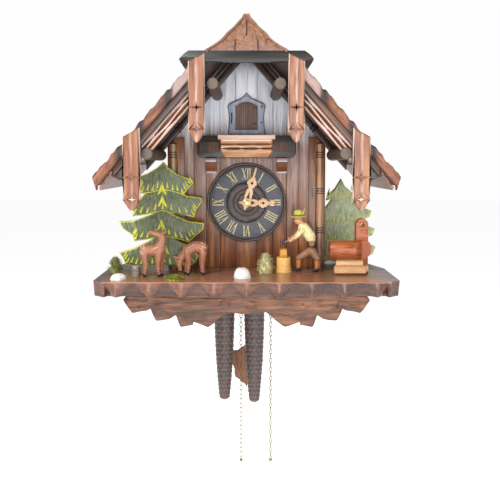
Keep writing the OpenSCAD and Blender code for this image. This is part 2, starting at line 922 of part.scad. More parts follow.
module whistle() {
    difference() {
        translate([whistle_x0, whistle_front_y, whistle_foot_z])
            cube([whistle_w, whistle_back_y - whistle_front_y, whistle_top_z - whistle_foot_z]);
        translate([whistle_x0 + 2, whistle_front_y - 1, whistle_foot_z + 10])
            cube([whistle_w - 4, 12, 5]);
        translate([whistle_x0 + 2.5, whistle_front_y + 3, whistle_foot_z + 4])
            cube([whistle_w - 5, 12, whistle_top_z - whistle_foot_z - 8]);
    }
    translate([whistle_x0 + 3, whistle_front_y + 3, platform_z])
        cube([whistle_w - 6, 34, whistle_foot_z - platform_z]);
}

module whistles() {
    color("#d3a76b") both_sides() whistle();
}

module bellows_folds() {
    color("#e6dcc4") both_sides() side_board(whistle_x0 + 1, whistle_w - 2) polygon([
        [whistle_back_y - 4, whistle_top_z], [whistle_front_y + 1, whistle_top_z],
        [whistle_front_y + 3, (whistle_top_z + lid_z) / 2], [whistle_front_y + 1, lid_z],
        [whistle_back_y - 4, lid_z],
    ]);
}

module bellows_lid() {
    color("#d3a76b") union() {
        translate([whistle_x0, whistle_front_y, lid_z])
            cube([whistle_w, whistle_back_y - whistle_front_y, lid_t]);
        translate([whistle_x0 + whistle_w / 2, whistle_front_y + 6, lid_z + lid_t])
            cylinder(r = 0.7, h = 7);
    }
}

module bellows_lid_left() {
    mirror([1, 0, 0]) bellows_lid();
}

module bellows_lid_right() {
    bellows_lid();
}

// ---- pendulum ----

pendulum_y = -22;
leaf_z = -305;

module pendulum_rod() {
    color("#9a9386") union() {
        on_arbor([0, pendulum_z], pendulum_y + 1, 2) difference() {
            circle(r = 3);
            circle(r = 1.08);
        }
        translate([0, pendulum_y, leaf_z + 8]) cylinder(r = 1, h = pendulum_z - 2.4 - leaf_z - 8);
    }
}

module pendulum_leaf() {
    color("#7a4a28") board(pendulum_y + 3.5, 2.5) polygon([
        [0, leaf_z + 27], [8, leaf_z + 20], [17, leaf_z + 17], [19.5, leaf_z + 5],
        [14, leaf_z - 4], [13, leaf_z - 14], [5, leaf_z - 20], [0, leaf_z - 26.5],
        [-5, leaf_z - 20], [-13, leaf_z - 14], [-14, leaf_z - 4], [-19.5, leaf_z + 5],
        [-17, leaf_z + 17], [-8, leaf_z + 20],
    ]);
}

// ---- chains and weights ----

chain_y = -55;
strand_r = 1.8;
left_strand_x = going_x - chain_r;
left_free_x = going_x + chain_r;
right_strand_x = strike_x - chain_r;
right_free_x = strike_x + chain_r;
weight_top_z = -201;
weight_foot_z = -331;
free_foot_z = -402;
hook_z = weight_top_z + 8;

module strand(x, top, foot) {
    translate([x, chain_y, foot]) cylinder(r = strand_r, h = top - foot);
}

// Cast pine cone: rows of scales, each one overhanging the next
module pine_cone(x, foot) {
    rows = 26;
    span = weight_top_z - foot - 4;
    radii = [for (i = [0 : rows]) let (u = i / rows) 12 - 1.4 * u - 4.6 * pow(u, 2.6)];
    rim = [
        for (i = [0 : rows - 1]) each [
            [radii[i], weight_top_z - 3 - span * i / rows],
            [radii[i] - 1.3, weight_top_z - 3.6 - span * i / rows],
        ],
    ];
    color("#2c2320") translate([x, chain_y, 0]) union() {
        rotate_extrude() polygon(concat(
            [[0, weight_top_z], [7, weight_top_z]], rim, [[4.6, foot + 1], [2, foot], [0, foot]]
        ));
        translate([0, 0, weight_top_z]) cylinder(r = 1.2, h = hook_z - weight_top_z);
    }
}

module weight_left() {
    pine_cone(left_strand_x, weight_foot_z);
}

module weight_right() {
    pine_cone(right_strand_x, weight_foot_z - 3);
}

// The spare chain that runs over the sprocket is kept straight inside the house
module weight_chain_left() {
    color("#a0976a") strand(left_strand_x, chain_z + weight_fall, hook_z);
}

module weight_chain_right() {
    color("#a0976a") strand(right_strand_x, chain_z + weight_fall, hook_z);
}

module free_chain_left() {
    color("#a0976a") strand(left_free_x, chain_z, free_foot_z);
}

module free_chain_right() {
    color("#a0976a") strand(right_free_x, chain_z, free_foot_z);
}

// ---- bird ----

bird_y = -71;
bird_z = -24;

module ball(p, r) {
    translate(p) sphere(r = r, $fn = 16);
}

module bird() {
    color("#5a3b2a") union() {
        hull() {
            ball([0, bird_y, bird_z - 1], 4.6);
            ball([0, bird_y + 9, bird_z + 1.5], 2.2);
        }
        ball([0, bird_y - 3.4, bird_z + 5.6], 3.3);
        translate([0, bird_y - 5.8, bird_z + 5.6]) rotate([90, 0, 0])
            cylinder(r1 = 1.2, r2 = 0.3, h = 3.4, $fn = 24);
        translate([perch_x, bird_y, perch_z]) cylinder(r = 0.8, h = 8.5);
        bar_y(perch_x, perch_z, -11, 64, perch_r);
    }
}

// ---- figures on the platform ----

// Half outline of a fir: tiers of drooping boughs with a scalloped foot
module fir_outline(tiers, height, spread) {
    for (k = [0 : tiers - 1]) {
        top = height * (1 - k * 0.78 / tiers);
        low = height * (0.72 - k * 0.72 / (tiers - 1));
        w = spread * (0.62 + 0.38 * k / (tiers - 1));
        polygon([
            [0, top], [w * 0.35, (top + low) / 2], [w, low + height * 0.1], [w * 0.82, low + 3],
            [w * 0.45, low], [0, low + 5], [-w * 0.45, low], [-w * 0.82, low + 3],
            [-w, low + height * 0.1], [-w * 0.35, (top + low) / 2],
        ]);
    }
}

fir_t = 8;

module fir_trees() {
    color("#7f8a3a") board(-97, fir_t)
        translate([-84.6, platform_z]) fir_outline(4, 108.5, 44);
    color("#4f5d3a") board(-57, fir_t) intersection() {
        translate([101, platform_z]) fir_outline(4, 91.5, 40);
        translate([house_half_w + 0.5, platform_z]) square([70, 100]);
    }
}

module deer_leg(x, y, top) {
    translate([x, y, platform_z]) cylinder(r1 = 1.5, r2 = 2.1, h = top, $fn = 16);
}

module standing_deer() {
    for (p = [[-98, -137], [-97, -142.5], [-81, -137], [-82, -142.5]]) deer_leg(p[0], p[1], 19);
    hull() {
        ball([-96, -140, platform_z + 24], 5.4);
        ball([-83, -140, platform_z + 25], 5.2);
    }
    hull() {
        ball([-83, -140, platform_z + 28], 3.4);
        ball([-79, -140, platform_z + 36], 2.8);
    }
    hull() {
        ball([-80, -140, platform_z + 39.5], 3.2);
        ball([-89, -141, platform_z + 42.6], 1.6);
    }
    for (y = [-142.6, -137.4])
        hull() {
            ball([-78, y, platform_z + 41], 1);
            ball([-75.8, y, platform_z + 43], 0.8);
        }
}

module grazing_deer() {
    for (p = [[-58, -127], [-57, -132.5], [-43, -127], [-42, -132.5]]) deer_leg(p[0], p[1], 18);
    hull() {
        ball([-57, -130, platform_z + 23], 5.2);
        ball([-43, -130, platform_z + 24], 5.6);
    }
    hull() {
        ball([-58, -130, platform_z + 23], 3.2);
        ball([-63.5, -130, platform_z + 15], 2.4);
    }
    hull() {
        ball([-63.5, -130, platform_z + 14], 2.8);
        ball([-67.4, -131, platform_z + 9], 1.5);
    }
    for (y = [-132.4, -127.6])
        hull() {
            ball([-62.5, y, platform_z + 17], 0.9);
            ball([-60.5, y, platform_z + 20.6], 0.8);
        }
}

module deer() {
    color("#a56e50") {
        standing_deer();
        grazing_deer();
    }
}

// Woodcutter: legs and breeches stand still, the upper body bows from the waist
waist_z = -152;
man_x = 64;
man_y = -113;

module chopper_legs() {
    color("#986e50") union() {
        for (p = [[51.5, -110.5], [69, -115.5]]) {
            translate([p[0] - 4, p[1] - 3, platform_z]) cube([8, 6, 4]);
            translate([p[0], p[1], platform_z + 3.5]) cylinder(r1 = 2.3, r2 = 2.9, h = 9);
        }
        hull() {
            ball([52.5, -110.8, platform_z + 13], 3.2);
            ball([man_x - 2.5, -112, waist_z - 7.5], 4);
        }
        hull() {
            ball([67.5, -115, platform_z + 13], 3.2);
            ball([man_x + 1.5, -114, waist_z - 7.5], 4);
        }
        hull() {
            ball([man_x - 1, man_y, waist_z - 7.6], 4.1);
            ball([man_x + 1, man_y, waist_z - 7.6], 4.1);
        }
    }
}

module chopper_upper() {
    color("#f3e0a4") union() {
        // Pivot barrel at the waist
        bar_y(man_x, waist_z, man_y + 4, 8, 3);
        translate([man_x, man_y, waist_z]) cylinder(r = 3.4, h = 4);
        hull() {
            ball([man_x - 1.5, man_y, waist_z + 7], 5);
            ball([man_x - 8, man_y, waist_z + 15.5], 5.4);
        }
        ball([man_x - 13, man_y, waist_z + 22.5], 4.2);
        translate([man_x - 13, man_y, waist_z + 26.2]) cylinder(r = 8, h = 1);
        translate([man_x - 12.8, man_y, waist_z + 27]) cylinder(r1 = 4.6, r2 = 3.6, h = 6);
        hull() {
            ball([man_x - 10, man_y - 5, waist_z + 13], 2.4);
            ball([man_x - 21.5, man_y - 4, waist_z + 3], 2);
        }
        hull() {
            ball([man_x - 10, man_y + 5, waist_z + 13], 2.4);
            ball([man_x - 21.5, man_y + 1, waist_z + 4], 2);
        }
        hull() {
            ball([man_x - 19.5, man_y - 2, waist_z + 4.5], 1);
            ball([man_x - 27.5, man_y - 2, waist_z + 0.8], 1);
        }
        translate([man_x - 30.6, man_y - 3.2, waist_z - 2.6]) cube([5, 2.4, 8]);
    }
}

block_x = 36.5;

module firewood_stick(x, y, z, len, r) {
    translate([x, y, z]) rotate([0, 90, 0]) cylinder(r = r, h = len, $fn = 6);
}

module wood_pile() {
    color("#d8a557") union() {
        translate([block_x, man_y - 1, platform_z]) cylinder(r1 = 8.4, r2 = 7, h = 5);
        translate([block_x, man_y - 1, platform_z + 5]) cylinder(r = 7, h = 9.5);
    }
    color("#d3932f") translate([block_x - 4, man_y - 5, platform_z + 14.6]) cube([7.6, 7, 8.2]);
    color("#97521f") difference() {
        translate([80, -127, -156.5]) rotate([0, 90, 0]) cylinder(r = 8.9, h = 43);
        translate([104.6, -136, -170]) rotate([0, 0, 45]) translate([-5, -20, 0]) cube([40, 20, 30]);
    }
    color("#97521f") difference() {
        translate([106.6, -121, -180]) cube([12, 9, 53]);
        bar_y(112.6, -133, -100, 40, 2);
        translate([78, -127, -156.5]) rotate([0, 90, 0]) cylinder(r = 9.1, h = 46);
    }
    color("#ae794a") {
        firewood_stick(84, -132, -175.9, 30, 4.1);
        firewood_stick(86, -123.4, -175.9, 32, 4.1);
        firewood_stick(86, -127.8, -169.6, 26, 3.6);
    }
}

module ground_trim() {
    color("#f4f2ee") {
        ball_cap([-4, -147, platform_z], 9.2, 10.8);
        ball_cap([-118, -156, platform_z], 8, 6.2);
    }
    color("#b4aa72") {
        ball_cap([18.5, -119.5, platform_z], 9, 22);
        ball_cap([-128, -120, platform_z], 8.5, 18);
        ball_cap([-66, -158, platform_z], 12, 4);
    }
    color("#8a8378") translate([-105.5, -134, platform_z])
        cylinder(r1 = 4.6, r2 = 4, h = 9);
}

// A rounded heap of the given radius and height, standing on the platform
module ball_cap(p, r, h) {
    translate(p) rotate_extrude() polygon(concat(
        [[0, 0]], [for (a = [0 : 15 : 90]) [r * cos(a), h * sin(a)]]
    ));
}

// Screws that hold the hanger plate and the back board
module fixing_screws() {
    color("#c2c0b8") {
        for (x = [-11, 11]) bar_y(x, -9, -0.3, 6.5, 1.5);
        for (p = back_screws) {
            bar_y(p[0], p[1], -0.2, 1.3, 2.5);
            bar_y(p[0], p[1], -1.4, 6, 1.2);
        }
    }
}

back_board();
hanger_plate();
side_walls();
house_front();
corner_posts();
base_platform();
apron_boards();
roof_boards();
shingles();
roof_cap();
gable_boards();
gable_rafters();
purlin_logs();
pendant_boards();
balcony_board();
balcony_trough();
balcony_brackets();
door_frame();
dial_face();
numerals();
movement_frame();
gong();
whistles();
bellows_folds();
bellows_lid_left();
bellows_lid_right();
strike_hammer();
great_wheel();
strike_wheel();
chain_wheel_left();
chain_wheel_right();
centre_wheel();
third_wheel();
escape_wheel();
anchor();
pin_wheel();
fly();
minute_wheel();
hour_wheel();
hour_hand();
minute_hand();
hand_nut();
pendulum_rod();
pendulum_leaf();
weight_left();
weight_right();
weight_chain_left();
weight_chain_right();
free_chain_left();
free_chain_right();
bird();
bird_door();
door_latch();
fir_trees();
deer();
chopper_legs();
chopper_upper();
wood_pile();
ground_trim();
fixing_screws();
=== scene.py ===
import math
import random

import bmesh
import bpy
from mathutils import Matrix, Vector, noise


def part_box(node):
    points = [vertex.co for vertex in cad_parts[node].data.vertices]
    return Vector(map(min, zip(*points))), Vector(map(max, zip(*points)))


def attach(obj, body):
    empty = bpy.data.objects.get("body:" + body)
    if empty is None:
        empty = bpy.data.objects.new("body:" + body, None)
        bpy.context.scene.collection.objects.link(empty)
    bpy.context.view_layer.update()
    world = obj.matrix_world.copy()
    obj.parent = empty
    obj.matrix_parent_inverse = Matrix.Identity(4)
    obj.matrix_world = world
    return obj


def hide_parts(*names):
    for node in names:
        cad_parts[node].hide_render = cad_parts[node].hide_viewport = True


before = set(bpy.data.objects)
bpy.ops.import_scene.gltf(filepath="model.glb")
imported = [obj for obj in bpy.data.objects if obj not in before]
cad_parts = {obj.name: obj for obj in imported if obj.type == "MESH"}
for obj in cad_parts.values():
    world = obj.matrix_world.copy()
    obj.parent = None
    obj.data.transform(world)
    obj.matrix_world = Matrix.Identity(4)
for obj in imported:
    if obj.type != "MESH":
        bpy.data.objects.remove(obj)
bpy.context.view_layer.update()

# ---- Camera, lights and floor ----
# The clock is seen from straight in front, a little above its dial, in soft studio light.
# The floor lies well below it, because the clock hangs from a nail.
camera = bpy.data.objects.new("camera", bpy.data.cameras.new("camera"))
camera.data.sensor_width = 36
camera.data.lens = 45.14
camera.data.shift_x = 0.007
camera.data.shift_y = -0.0867
camera.location = (0, -0.728, -0.075)
camera.rotation_euler = (math.radians(86.2), 0, 0)
bpy.context.collection.objects.link(camera)
bpy.context.scene.camera = camera
bpy.context.scene.view_settings.view_transform = "Standard"


def softbox(name, spot, size, watts, aim=(0, -0.1, -0.12)):
    """A square area light at spot, turned to the point aim."""
    lamp = bpy.data.objects.new(name, bpy.data.lights.new(name, "AREA"))
    lamp.data.size = size
    lamp.data.energy = watts
    lamp.location = spot
    lamp.rotation_euler = (Vector(aim) - Vector(spot)).to_track_quat("-Z", "Y").to_euler()
    bpy.context.collection.objects.link(lamp)


softbox("key_light", (-0.75, -1.1, 0.8), 0.5, 21)
softbox("fill_light", (1.1, -1.2, 0.1), 1.0, 5)
softbox("front_light", (0.1, -1.5, -0.15), 0.8, 8)
softbox("back_light", (0.3, 1.1, 0.8), 1.0, 9)

world = bpy.data.worlds.new("studio")
world.use_nodes = True
bpy.context.scene.world = world
backdrop = world.node_tree.nodes["Background"]
backdrop.inputs["Color"].default_value = (1, 1, 1, 1)
is_camera = world.node_tree.nodes.new("ShaderNodeLightPath").outputs["Is Camera Ray"]
level = world.node_tree.nodes.new("ShaderNodeMapRange")
level.inputs["To Min"].default_value = 0.3
level.inputs["To Max"].default_value = 0.99
world.node_tree.links.new(is_camera, level.inputs["Value"])
world.node_tree.links.new(level.outputs["Result"], backdrop.inputs["Strength"])


class Link:
    """The output of a node. Arithmetic on it adds Math nodes to its finish."""

    def __init__(self, finish, socket):
        self.finish = finish
        self.socket = socket

    def math(self, operation, first, second):
        return self.finish.node("ShaderNodeMath", {"operation": operation}, {0: first, 1: second})

    def __add__(self, other):
        return self.math("ADD", self, other)

    def __sub__(self, other):
        return self.math("SUBTRACT", self, other)

    def __rsub__(self, other):
        return self.math("SUBTRACT", other, self)

    def __mul__(self, other):
        return self.math("MULTIPLY", self, other)

    __radd__ = __add__
    __rmul__ = __mul__

    def between(self, low, high, least=0.0, most=1.0):
        """Rises smoothly from least to most as the value goes from low to high."""
        return self.finish.node(
            "ShaderNodeMapRange", {"interpolation_type": "SMOOTHSTEP"},
            {"Value": self, "From Min": low, "From Max": high, "To Min": least, "To Max": most})


class Finish:
    """One material. node() adds a node of any kind: its settings first, then its sockets."""

    def __init__(self, name, **constants):
        self.material = bpy.data.materials.new(name)
        self.material.use_nodes = True
        self.tree = self.material.node_tree
        self.shader = self.tree.nodes["Principled BSDF"]
        for key, value in constants.items():
            self.put(key.replace("_", " ").title().replace("Ior", "IOR"), value)

    def node(self, kind, settings=None, sockets=None, out=0):
        made = self.tree.nodes.new(kind)
        for key, value in (settings or {}).items():
            if key == "stops":
                self.set_stops(made.color_ramp, value)
            else:
                setattr(made, key, value)
        for key, value in (sockets or {}).items():
            self.plug(made.inputs[key], value)
        return Link(self, made.outputs[out])

    def set_stops(self, ramp, stops):
        while len(ramp.elements) < len(stops):
            ramp.elements.new(1)
        for element, (spot, colour) in zip(ramp.elements, stops):
            element.position = spot
            element.color = colour

    def plug(self, socket, value):
        if isinstance(value, Link):
            self.tree.links.new(value.socket, socket)
        else:
            socket.default_value = value

    def put(self, name, value):
        self.plug(self.shader.inputs[name], value)

    def mix(self, share, first, second):
        return self.node(
            "ShaderNodeMix", {"data_type": "RGBA"}, {0: share, 6: first, 7: second}, out=2)

    def ramp(self, value, stops):
        return self.node("ShaderNodeValToRGB", {"stops": stops}, {"Fac": value})

    def layer(self, name):
        """A number that the mesh carries at each point; 0 where the mesh has none."""
        return self.node("ShaderNodeAttribute", {"attribute_name": name}, out="Fac")

    def place(self, turn=(0, 0, 0)):
        """Object coordinates in millimetres, turned so that Z runs along the given direction."""
        spot = self.node("ShaderNodeTexCoord", out="Object")
        return self.node("ShaderNodeMapping", {"vector_type": "TEXTURE"},
                         {"Vector": spot, "Rotation": turn, "Scale": (MM, MM, MM)})

    def stretched(self, spot, scale):
        return self.node("ShaderNodeMapping", None, {"Vector": spot, "Scale": scale})

    def noise(self, spot, scale, detail=3.0, warp=0.0):
        return self.node("ShaderNodeTexNoise", None, {
            "Vector": spot, "Scale": scale, "Detail": detail, "Distortion": warp})

    def bump(self, height, depth, strength=1.0):
        """Relief of the given depth in millimetres."""
        made = self.node("ShaderNodeBump", None,
                         {"Height": height, "Distance": depth * MM, "Strength": strength})
        self.put("Normal", made)


MM = 0.001


def rgb(red, green, blue):
    """A colour of 0 to 255 a channel, as the linear values that a shader takes."""
    return (*[((c / 255 + 0.055) / 1.055) ** 2.4 if c > 10 else c / 3294.6
              for c in (red, green, blue)], 1)


floor_mesh = bmesh.new()
bmesh.ops.create_grid(floor_mesh, x_segments=8, y_segments=8, size=9)
bmesh.ops.translate(floor_mesh, vec=(0, 0, -0.62), verts=floor_mesh.verts)
floor = bpy.data.objects.new("floor", bpy.data.meshes.new("floor"))
floor_mesh.to_mesh(floor.data)
bpy.context.collection.objects.link(floor)
pale_floor = Finish("pale_floor", base_color=rgb(238, 238, 237), roughness=0.9,
                    emission_color=rgb(255, 255, 255), emission_strength=0.7)
floor.data.materials.append(pale_floor.material)


# ---- Timber finishes, and the back, the sides and the panel of the house ----
# The house is a box of softwood boards: a back board, two sides and a planked front that is
# stained brown, under a painted reflection of a light that turns it pinkish at the dial and grey-white in
# the gable. The boards are glued and pinned.
def tones(dark, middle, light):
    """The three stops of a ramp, from colours of 0 to 255 a channel."""
    return [(0.3, rgb(*dark)), (0.5, rgb(*middle)), (0.7, rgb(*light))]


def wood(name, stops, turn=None, figure=0.13, gloss=(0.34, 0.6), coat=0.0, relief=0.14,
         dark=rgb(26, 15, 10), light=rgb(214, 190, 168), split=0.0):
    """Stained timber. The grain runs along Z after the turn, or along the board's own fibres
    where turn is None. The darkening and pale layers tint it, and on many pieces paint shade and highlight."""
    made = Finish(name, coat_weight=coat, coat_roughness=0.25)
    if turn is None:
        spot = made.node("ShaderNodeAttribute", {"attribute_name": "fibre"}, out="Vector")
    else:
        spot = made.place(turn)
    flame = made.noise(made.stretched(spot, (1, 1, 0.09)), figure, 4.0, 1.1)
    fibres = made.noise(made.stretched(spot, (1, 1, 0.035)), 1.3, 3.0)
    pores = made.noise(made.stretched(spot, (1, 1, 0.05)), 3.2, 1.0).between(0.62, 0.74)
    tone = flame * 0.72 + fibres * 0.38 - 0.05
    colour = made.ramp(tone, stops)
    colour = made.mix(pores * 0.45, colour, dark)
    if split:
        cracks = made.noise(made.stretched(spot, (1, 1, 0.12)), 0.55, 2.0).between(0.64, 0.7)
        colour = made.mix(cracks * split, colour, dark)
    # The pale and darkening layers hold tints, and on many pieces painted highlight and painted shade.
    colour = made.mix(made.layer("pale"), colour, light)
    colour = made.mix(made.layer("burn"), colour, dark)
    made.put("Base Color", colour)
    made.put("Roughness", tone.between(0.2, 0.8, gloss[0], gloss[1]))
    made.bump(fibres * 0.5 + flame * 0.3 - pores * 0.3, relief)
    return made


BROWN = [(0.28, rgb(66, 34, 19)), (0.5, rgb(118, 68, 40)), (0.68, rgb(158, 100, 62))]
UPRIGHT = (0, 0, 0)
FORE_AND_AFT = (math.pi / 2, 0, 0)


def dress(node, finish):
    """Gives a node that keeps its own shape its finish."""
    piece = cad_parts[node]
    piece.data.materials.clear()
    piece.data.materials.append(finish.material)


def span(node):
    """Lowest and highest corner of a node, in millimetres."""
    low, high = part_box(node)
    return Vector(low) / MM, Vector(high) / MM


class Carving:
    """A mesh drawn in millimetres, with the numbers that its finish reads at each point: fibre
    is the place in the board's own timber, and the darkening and pale layers how far it is
    tinted darker or lighter, on many pieces as painted shade and painted highlight."""

    def __init__(self, start=None):
        self.bm = bmesh.new()
        if start:
            self.bm.from_mesh(start)
        layers = self.bm.verts.layers
        self.fibre = layers.float_vector.get("fibre") or layers.float_vector.new("fibre")
        self.burn = layers.float.get("burn") or layers.float.new("burn")
        self.pale = layers.float.get("pale") or layers.float.new("pale")
        self.done = layers.int.get("done") or layers.int.new("done")

    def fresh(self):
        """The points of the form that is being drawn."""
        return [v for v in self.bm.verts if not v[self.done]]

    def grain(self, along=(0, 0, 1), shift=0.0):
        """Closes a form: runs its fibres along a direction, in timber of its own."""
        turn = Vector(along).normalized().rotation_difference(Vector((0, 0, 1)))
        verts = self.fresh()
        for v in verts:
            v[self.fibre] = turn @ v.co + Vector((shift * 1.7, shift, shift * 9))
            v[self.done] = 1
        return verts

    def shade(self, verts, burn=None, pale=None):
        for v in verts:
            if burn:
                v[self.burn] = min(1, max(0, burn(v.co)))
            if pale:
                v[self.pale] = min(1, max(0, pale(v.co)))
        return verts

    def board(self, outline, front, back, holes=(), bevel=0.5, steps=2, along=(0, 0, 1),
              shift=0.0):
        """A board cut to an outline in X and Z, with its front edges taken off."""
        bm = self.bm
        rim = []
        for loop in (outline, *holes):
            verts = [bm.verts.new((x, front, z)) for x, z in loop]
            rim += [bm.edges.new(pair) for pair in zip(verts, verts[1:] + verts[:1])]
        if holes:
            made = bmesh.ops.triangle_fill(bm, use_beauty=True, edges=rim)["geom"]
        else:
            made = [bm.faces.new(verts)]
        faces = [part for part in made if isinstance(part, bmesh.types.BMFace)]
        grown = bmesh.ops.extrude_face_region(bm, geom=faces)["geom"]
        for part in grown:
            if isinstance(part, bmesh.types.BMVert):
                part.co.y = back
        if bevel:
            bmesh.ops.bevel(bm, geom=rim, offset=bevel, segments=steps, profile=0.5,
                            affect="EDGES", material=-1, clamp_overlap=True)
        return self.grain(along, shift)

    def relief(self, columns, rows, place, back, along=(0, 0, 1), shift=0.0):
        """A board whose front is a grid: place(u, v) gives its points, and back the rear."""
        bm = self.bm
        grid = bmesh.ops.create_grid(bm, x_segments=columns, y_segments=rows, size=0.5)["verts"]
        for v in grid:
            v.co = place(v.co.x + 0.5, v.co.y + 0.5)
        faces = list({face for v in grid for face in v.link_faces})
        grown = bmesh.ops.extrude_face_region(bm, geom=faces)["geom"]
        for part in grown:
            if isinstance(part, bmesh.types.BMVert):
                part.co = back(part.co)
        return self.grain(along, shift)

    def turned(self, profile, foot=(0, 0, 0), axis=(0, 0, 1), steps=28, along=(0, 0, 1),
               shift=0.0):
        """A lathe-turned form: profile gives (radius, height), and axis points up from foot."""
        bm = self.bm
        rail = [bm.verts.new((radius, 0, height)) for radius, height in profile]
        edges = [bm.edges.new(pair) for pair in zip(rail, rail[1:])]
        bmesh.ops.spin(bm, geom=rail + edges, cent=(0, 0, 0), axis=(0, 0, 1),
                       angle=2 * math.pi, steps=steps, use_merge=True)
        verts = self.fresh()
        turn = Vector((0, 0, 1)).rotation_difference(Vector(axis).normalized())
        bmesh.ops.transform(bm, matrix=Matrix.Translation(foot) @ turn.to_matrix().to_4x4(),
                            verts=verts)
        bmesh.ops.remove_doubles(bm, verts=verts, dist=0.001)
        return self.grain(along, shift)

    def limb(self, *stations):
        """A rounded limb through stations of (x, y, z, radius)."""
        for x, y, z, radius in stations:
            bmesh.ops.create_uvsphere(self.bm, u_segments=16, v_segments=10, radius=radius,
                                      matrix=Matrix.Translation((x, y, z)))
        for start, end in zip(stations, stations[1:]):
            line = Vector(end[:3]) - Vector(start[:3])
            turn = Vector((0, 0, 1)).rotation_difference(line.normalized()).to_matrix()
            middle = (Vector(end[:3]) + Vector(start[:3])) / 2
            bmesh.ops.create_cone(self.bm, cap_ends=True, segments=16, radius1=start[3],
                                  radius2=end[3], depth=line.length,
                                  matrix=Matrix.Translation(middle) @ turn.to_4x4())
        return self.grain()

    def fuse(self, voxel, rounds=4):
        """Joins everything drawn so far into one smooth skin."""
        mesh = bpy.data.meshes.new("clay")
        self.bm.to_mesh(mesh)
        self.bm.free()
        clay = bpy.data.objects.new("clay", mesh)
        bpy.context.collection.objects.link(clay)
        skin = clay.modifiers.new("skin", "REMESH")
        skin.mode = "VOXEL"
        skin.voxel_size = voxel
        ease = clay.modifiers.new("ease", "SMOOTH")
        ease.iterations = rounds
        shape = clay.evaluated_get(bpy.context.evaluated_depsgraph_get())
        done = bpy.data.meshes.new_from_object(shape)
        bpy.data.objects.remove(clay)
        self.__init__(done)
        for v in self.bm.verts:
            v[self.done] = 0
        return self.grain()

    def settle(self, name, body, slot, finish, stands_for=(), sharp=32):
        """Makes the carving a finished piece, in metres, on its body."""
        self.bm.verts.layers.int.remove(self.done)
        bmesh.ops.recalc_face_normals(self.bm, faces=self.bm.faces)
        bmesh.ops.scale(self.bm, vec=(MM, MM, MM), verts=self.bm.verts)
        mesh = bpy.data.meshes.new(name)
        self.bm.to_mesh(mesh)
        self.bm.free()
        mesh.materials.append(finish.material)
        mesh.shade_smooth()
        mesh.set_sharp_from_angle(angle=math.radians(sharp))
        piece = bpy.data.objects.new(name, mesh)
        bpy.context.collection.objects.link(piece)
        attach(piece, body)
        if stands_for:
            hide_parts(*stands_for)


def arc(centre, radius, start, end, steps):
    """Points of an arc, with its angles in degrees."""
    turns = [math.radians(start + (end - start) * i / steps) for i in range(steps + 1)]
    return [(centre[0] + radius * math.cos(a), centre[1] + radius * math.sin(a)) for a in turns]


dress("back_board", wood("back_wood", BROWN, UPRIGHT))
dress("side_walls", wood("side_wood", BROWN, UPRIGHT, coat=0.15))

ROOF_SLOPE = math.tan(math.radians(48.5))
RIDGE_Z = 67
ROOF_THICK = 13


def roof_outer(x):
    return RIDGE_Z - ROOF_SLOPE * abs(x)


def roof_under(x):
    return roof_outer(x) - ROOF_THICK


panel_low, panel_high = span("house_front")
door_half = 10.5
door_arch_r = (door_half ** 2 + 4.2 ** 2) / (2 * 4.2)
door_arch_c = (0, -11.3 - door_arch_r)
door_gap = 0.35
dial_low, dial_high = span("dial_face")
dial_centre = Vector((0, 0, (dial_low.z + dial_high.z) / 2))
plank_edges = [-80, -69, -53.5, -41, -27, -door_half - door_gap]
plank_edges += [-x for x in reversed(plank_edges)]
front_panel = Carving()
for i, (left, right) in enumerate(zip(plank_edges, plank_edges[1:])):
    left_x, right_x = left + 0.12, right - 0.12
    top = [(right_x, roof_under(right_x) - 0.2), (left_x, roof_under(left_x) - 0.2)]
    if left < 0 < right:
        top.insert(1, (0, roof_under(0) - 0.2))
        swing = math.degrees(math.asin(right_x / (door_arch_r + door_gap)))
        over = arc(door_arch_c, door_arch_r + door_gap, 90 + swing, 90 - swing, 10)
        front_panel.board(over + top, panel_low.y, panel_high.y, shift=i * 11)
        hole = arc((0, dial_centre.z), 4.5, 360, 15, 23)
        front_panel.board([(left_x, -180), (right_x, -180), (right_x, -38.9), (left_x, -38.9)],
                          panel_low.y, panel_high.y, holes=[hole], bevel=0.3, shift=i * 11)
    else:
        front_panel.board([(left_x, -180), (right_x, -180)] + top, panel_low.y, panel_high.y,
                          bevel=0.55, shift=i * 11)


def panel_with_painted_glare():
    """Stained orange-brown planks with a painted reflection of a light, pinkish at the dial and grey-white
    above it, and painted shade under the roof.
    """
    made = wood("house_wood", [(0.3, rgb(66, 34, 17)), (0.48, rgb(112, 62, 32)),
                               (0.66, rgb(168, 106, 60))], figure=0.1, gloss=(0.3, 0.5),
                coat=0.2, relief=0.2)
    height = made.node("ShaderNodeSeparateXYZ", None, {"Vector": made.place()}, out="Z")
    spot = made.node("ShaderNodeAttribute", {"attribute_name": "fibre"}, out="Vector")
    brush = made.noise(made.stretched(spot, (1, 1, 0.05)), 0.35, 4.0, 0.6)
    fine = made.noise(made.stretched(spot, (1, 1, 0.03)), 2.0, 3.0)
    stained = made.shader.inputs["Base Color"].links[0].from_socket
    pink = made.ramp(brush * 0.6 + fine * 0.4, tones((84, 56, 44), (140, 108, 94), (188, 164, 152)))
    grey = made.ramp(brush * 0.55 + fine * 0.45, [
        (0.3, rgb(166, 164, 174)), (0.48, rgb(222, 224, 236)), (0.66, rgb(246, 247, 252))])
    # Painted reflection of a light: the brown stain fades up the panel to pink, then to grey-white.
    colour = made.mix((height + brush * 60).between(-120, -45), Link(made, stained), pink)
    colour = made.mix((height + brush * 40).between(-42, 0), colour, grey)
    # Painted shade at the top of the gable, under the roof and the cap.
    painted_shade_under_roof = (height + brush * 22).between(27, 46)
    made.put("Base Color", made.mix(painted_shade_under_roof * 0.85, colour, rgb(22, 16, 14)))
    return made


front_panel.settle("front_panel", "case", "house_wood", panel_with_painted_glare(), ["house_front"])


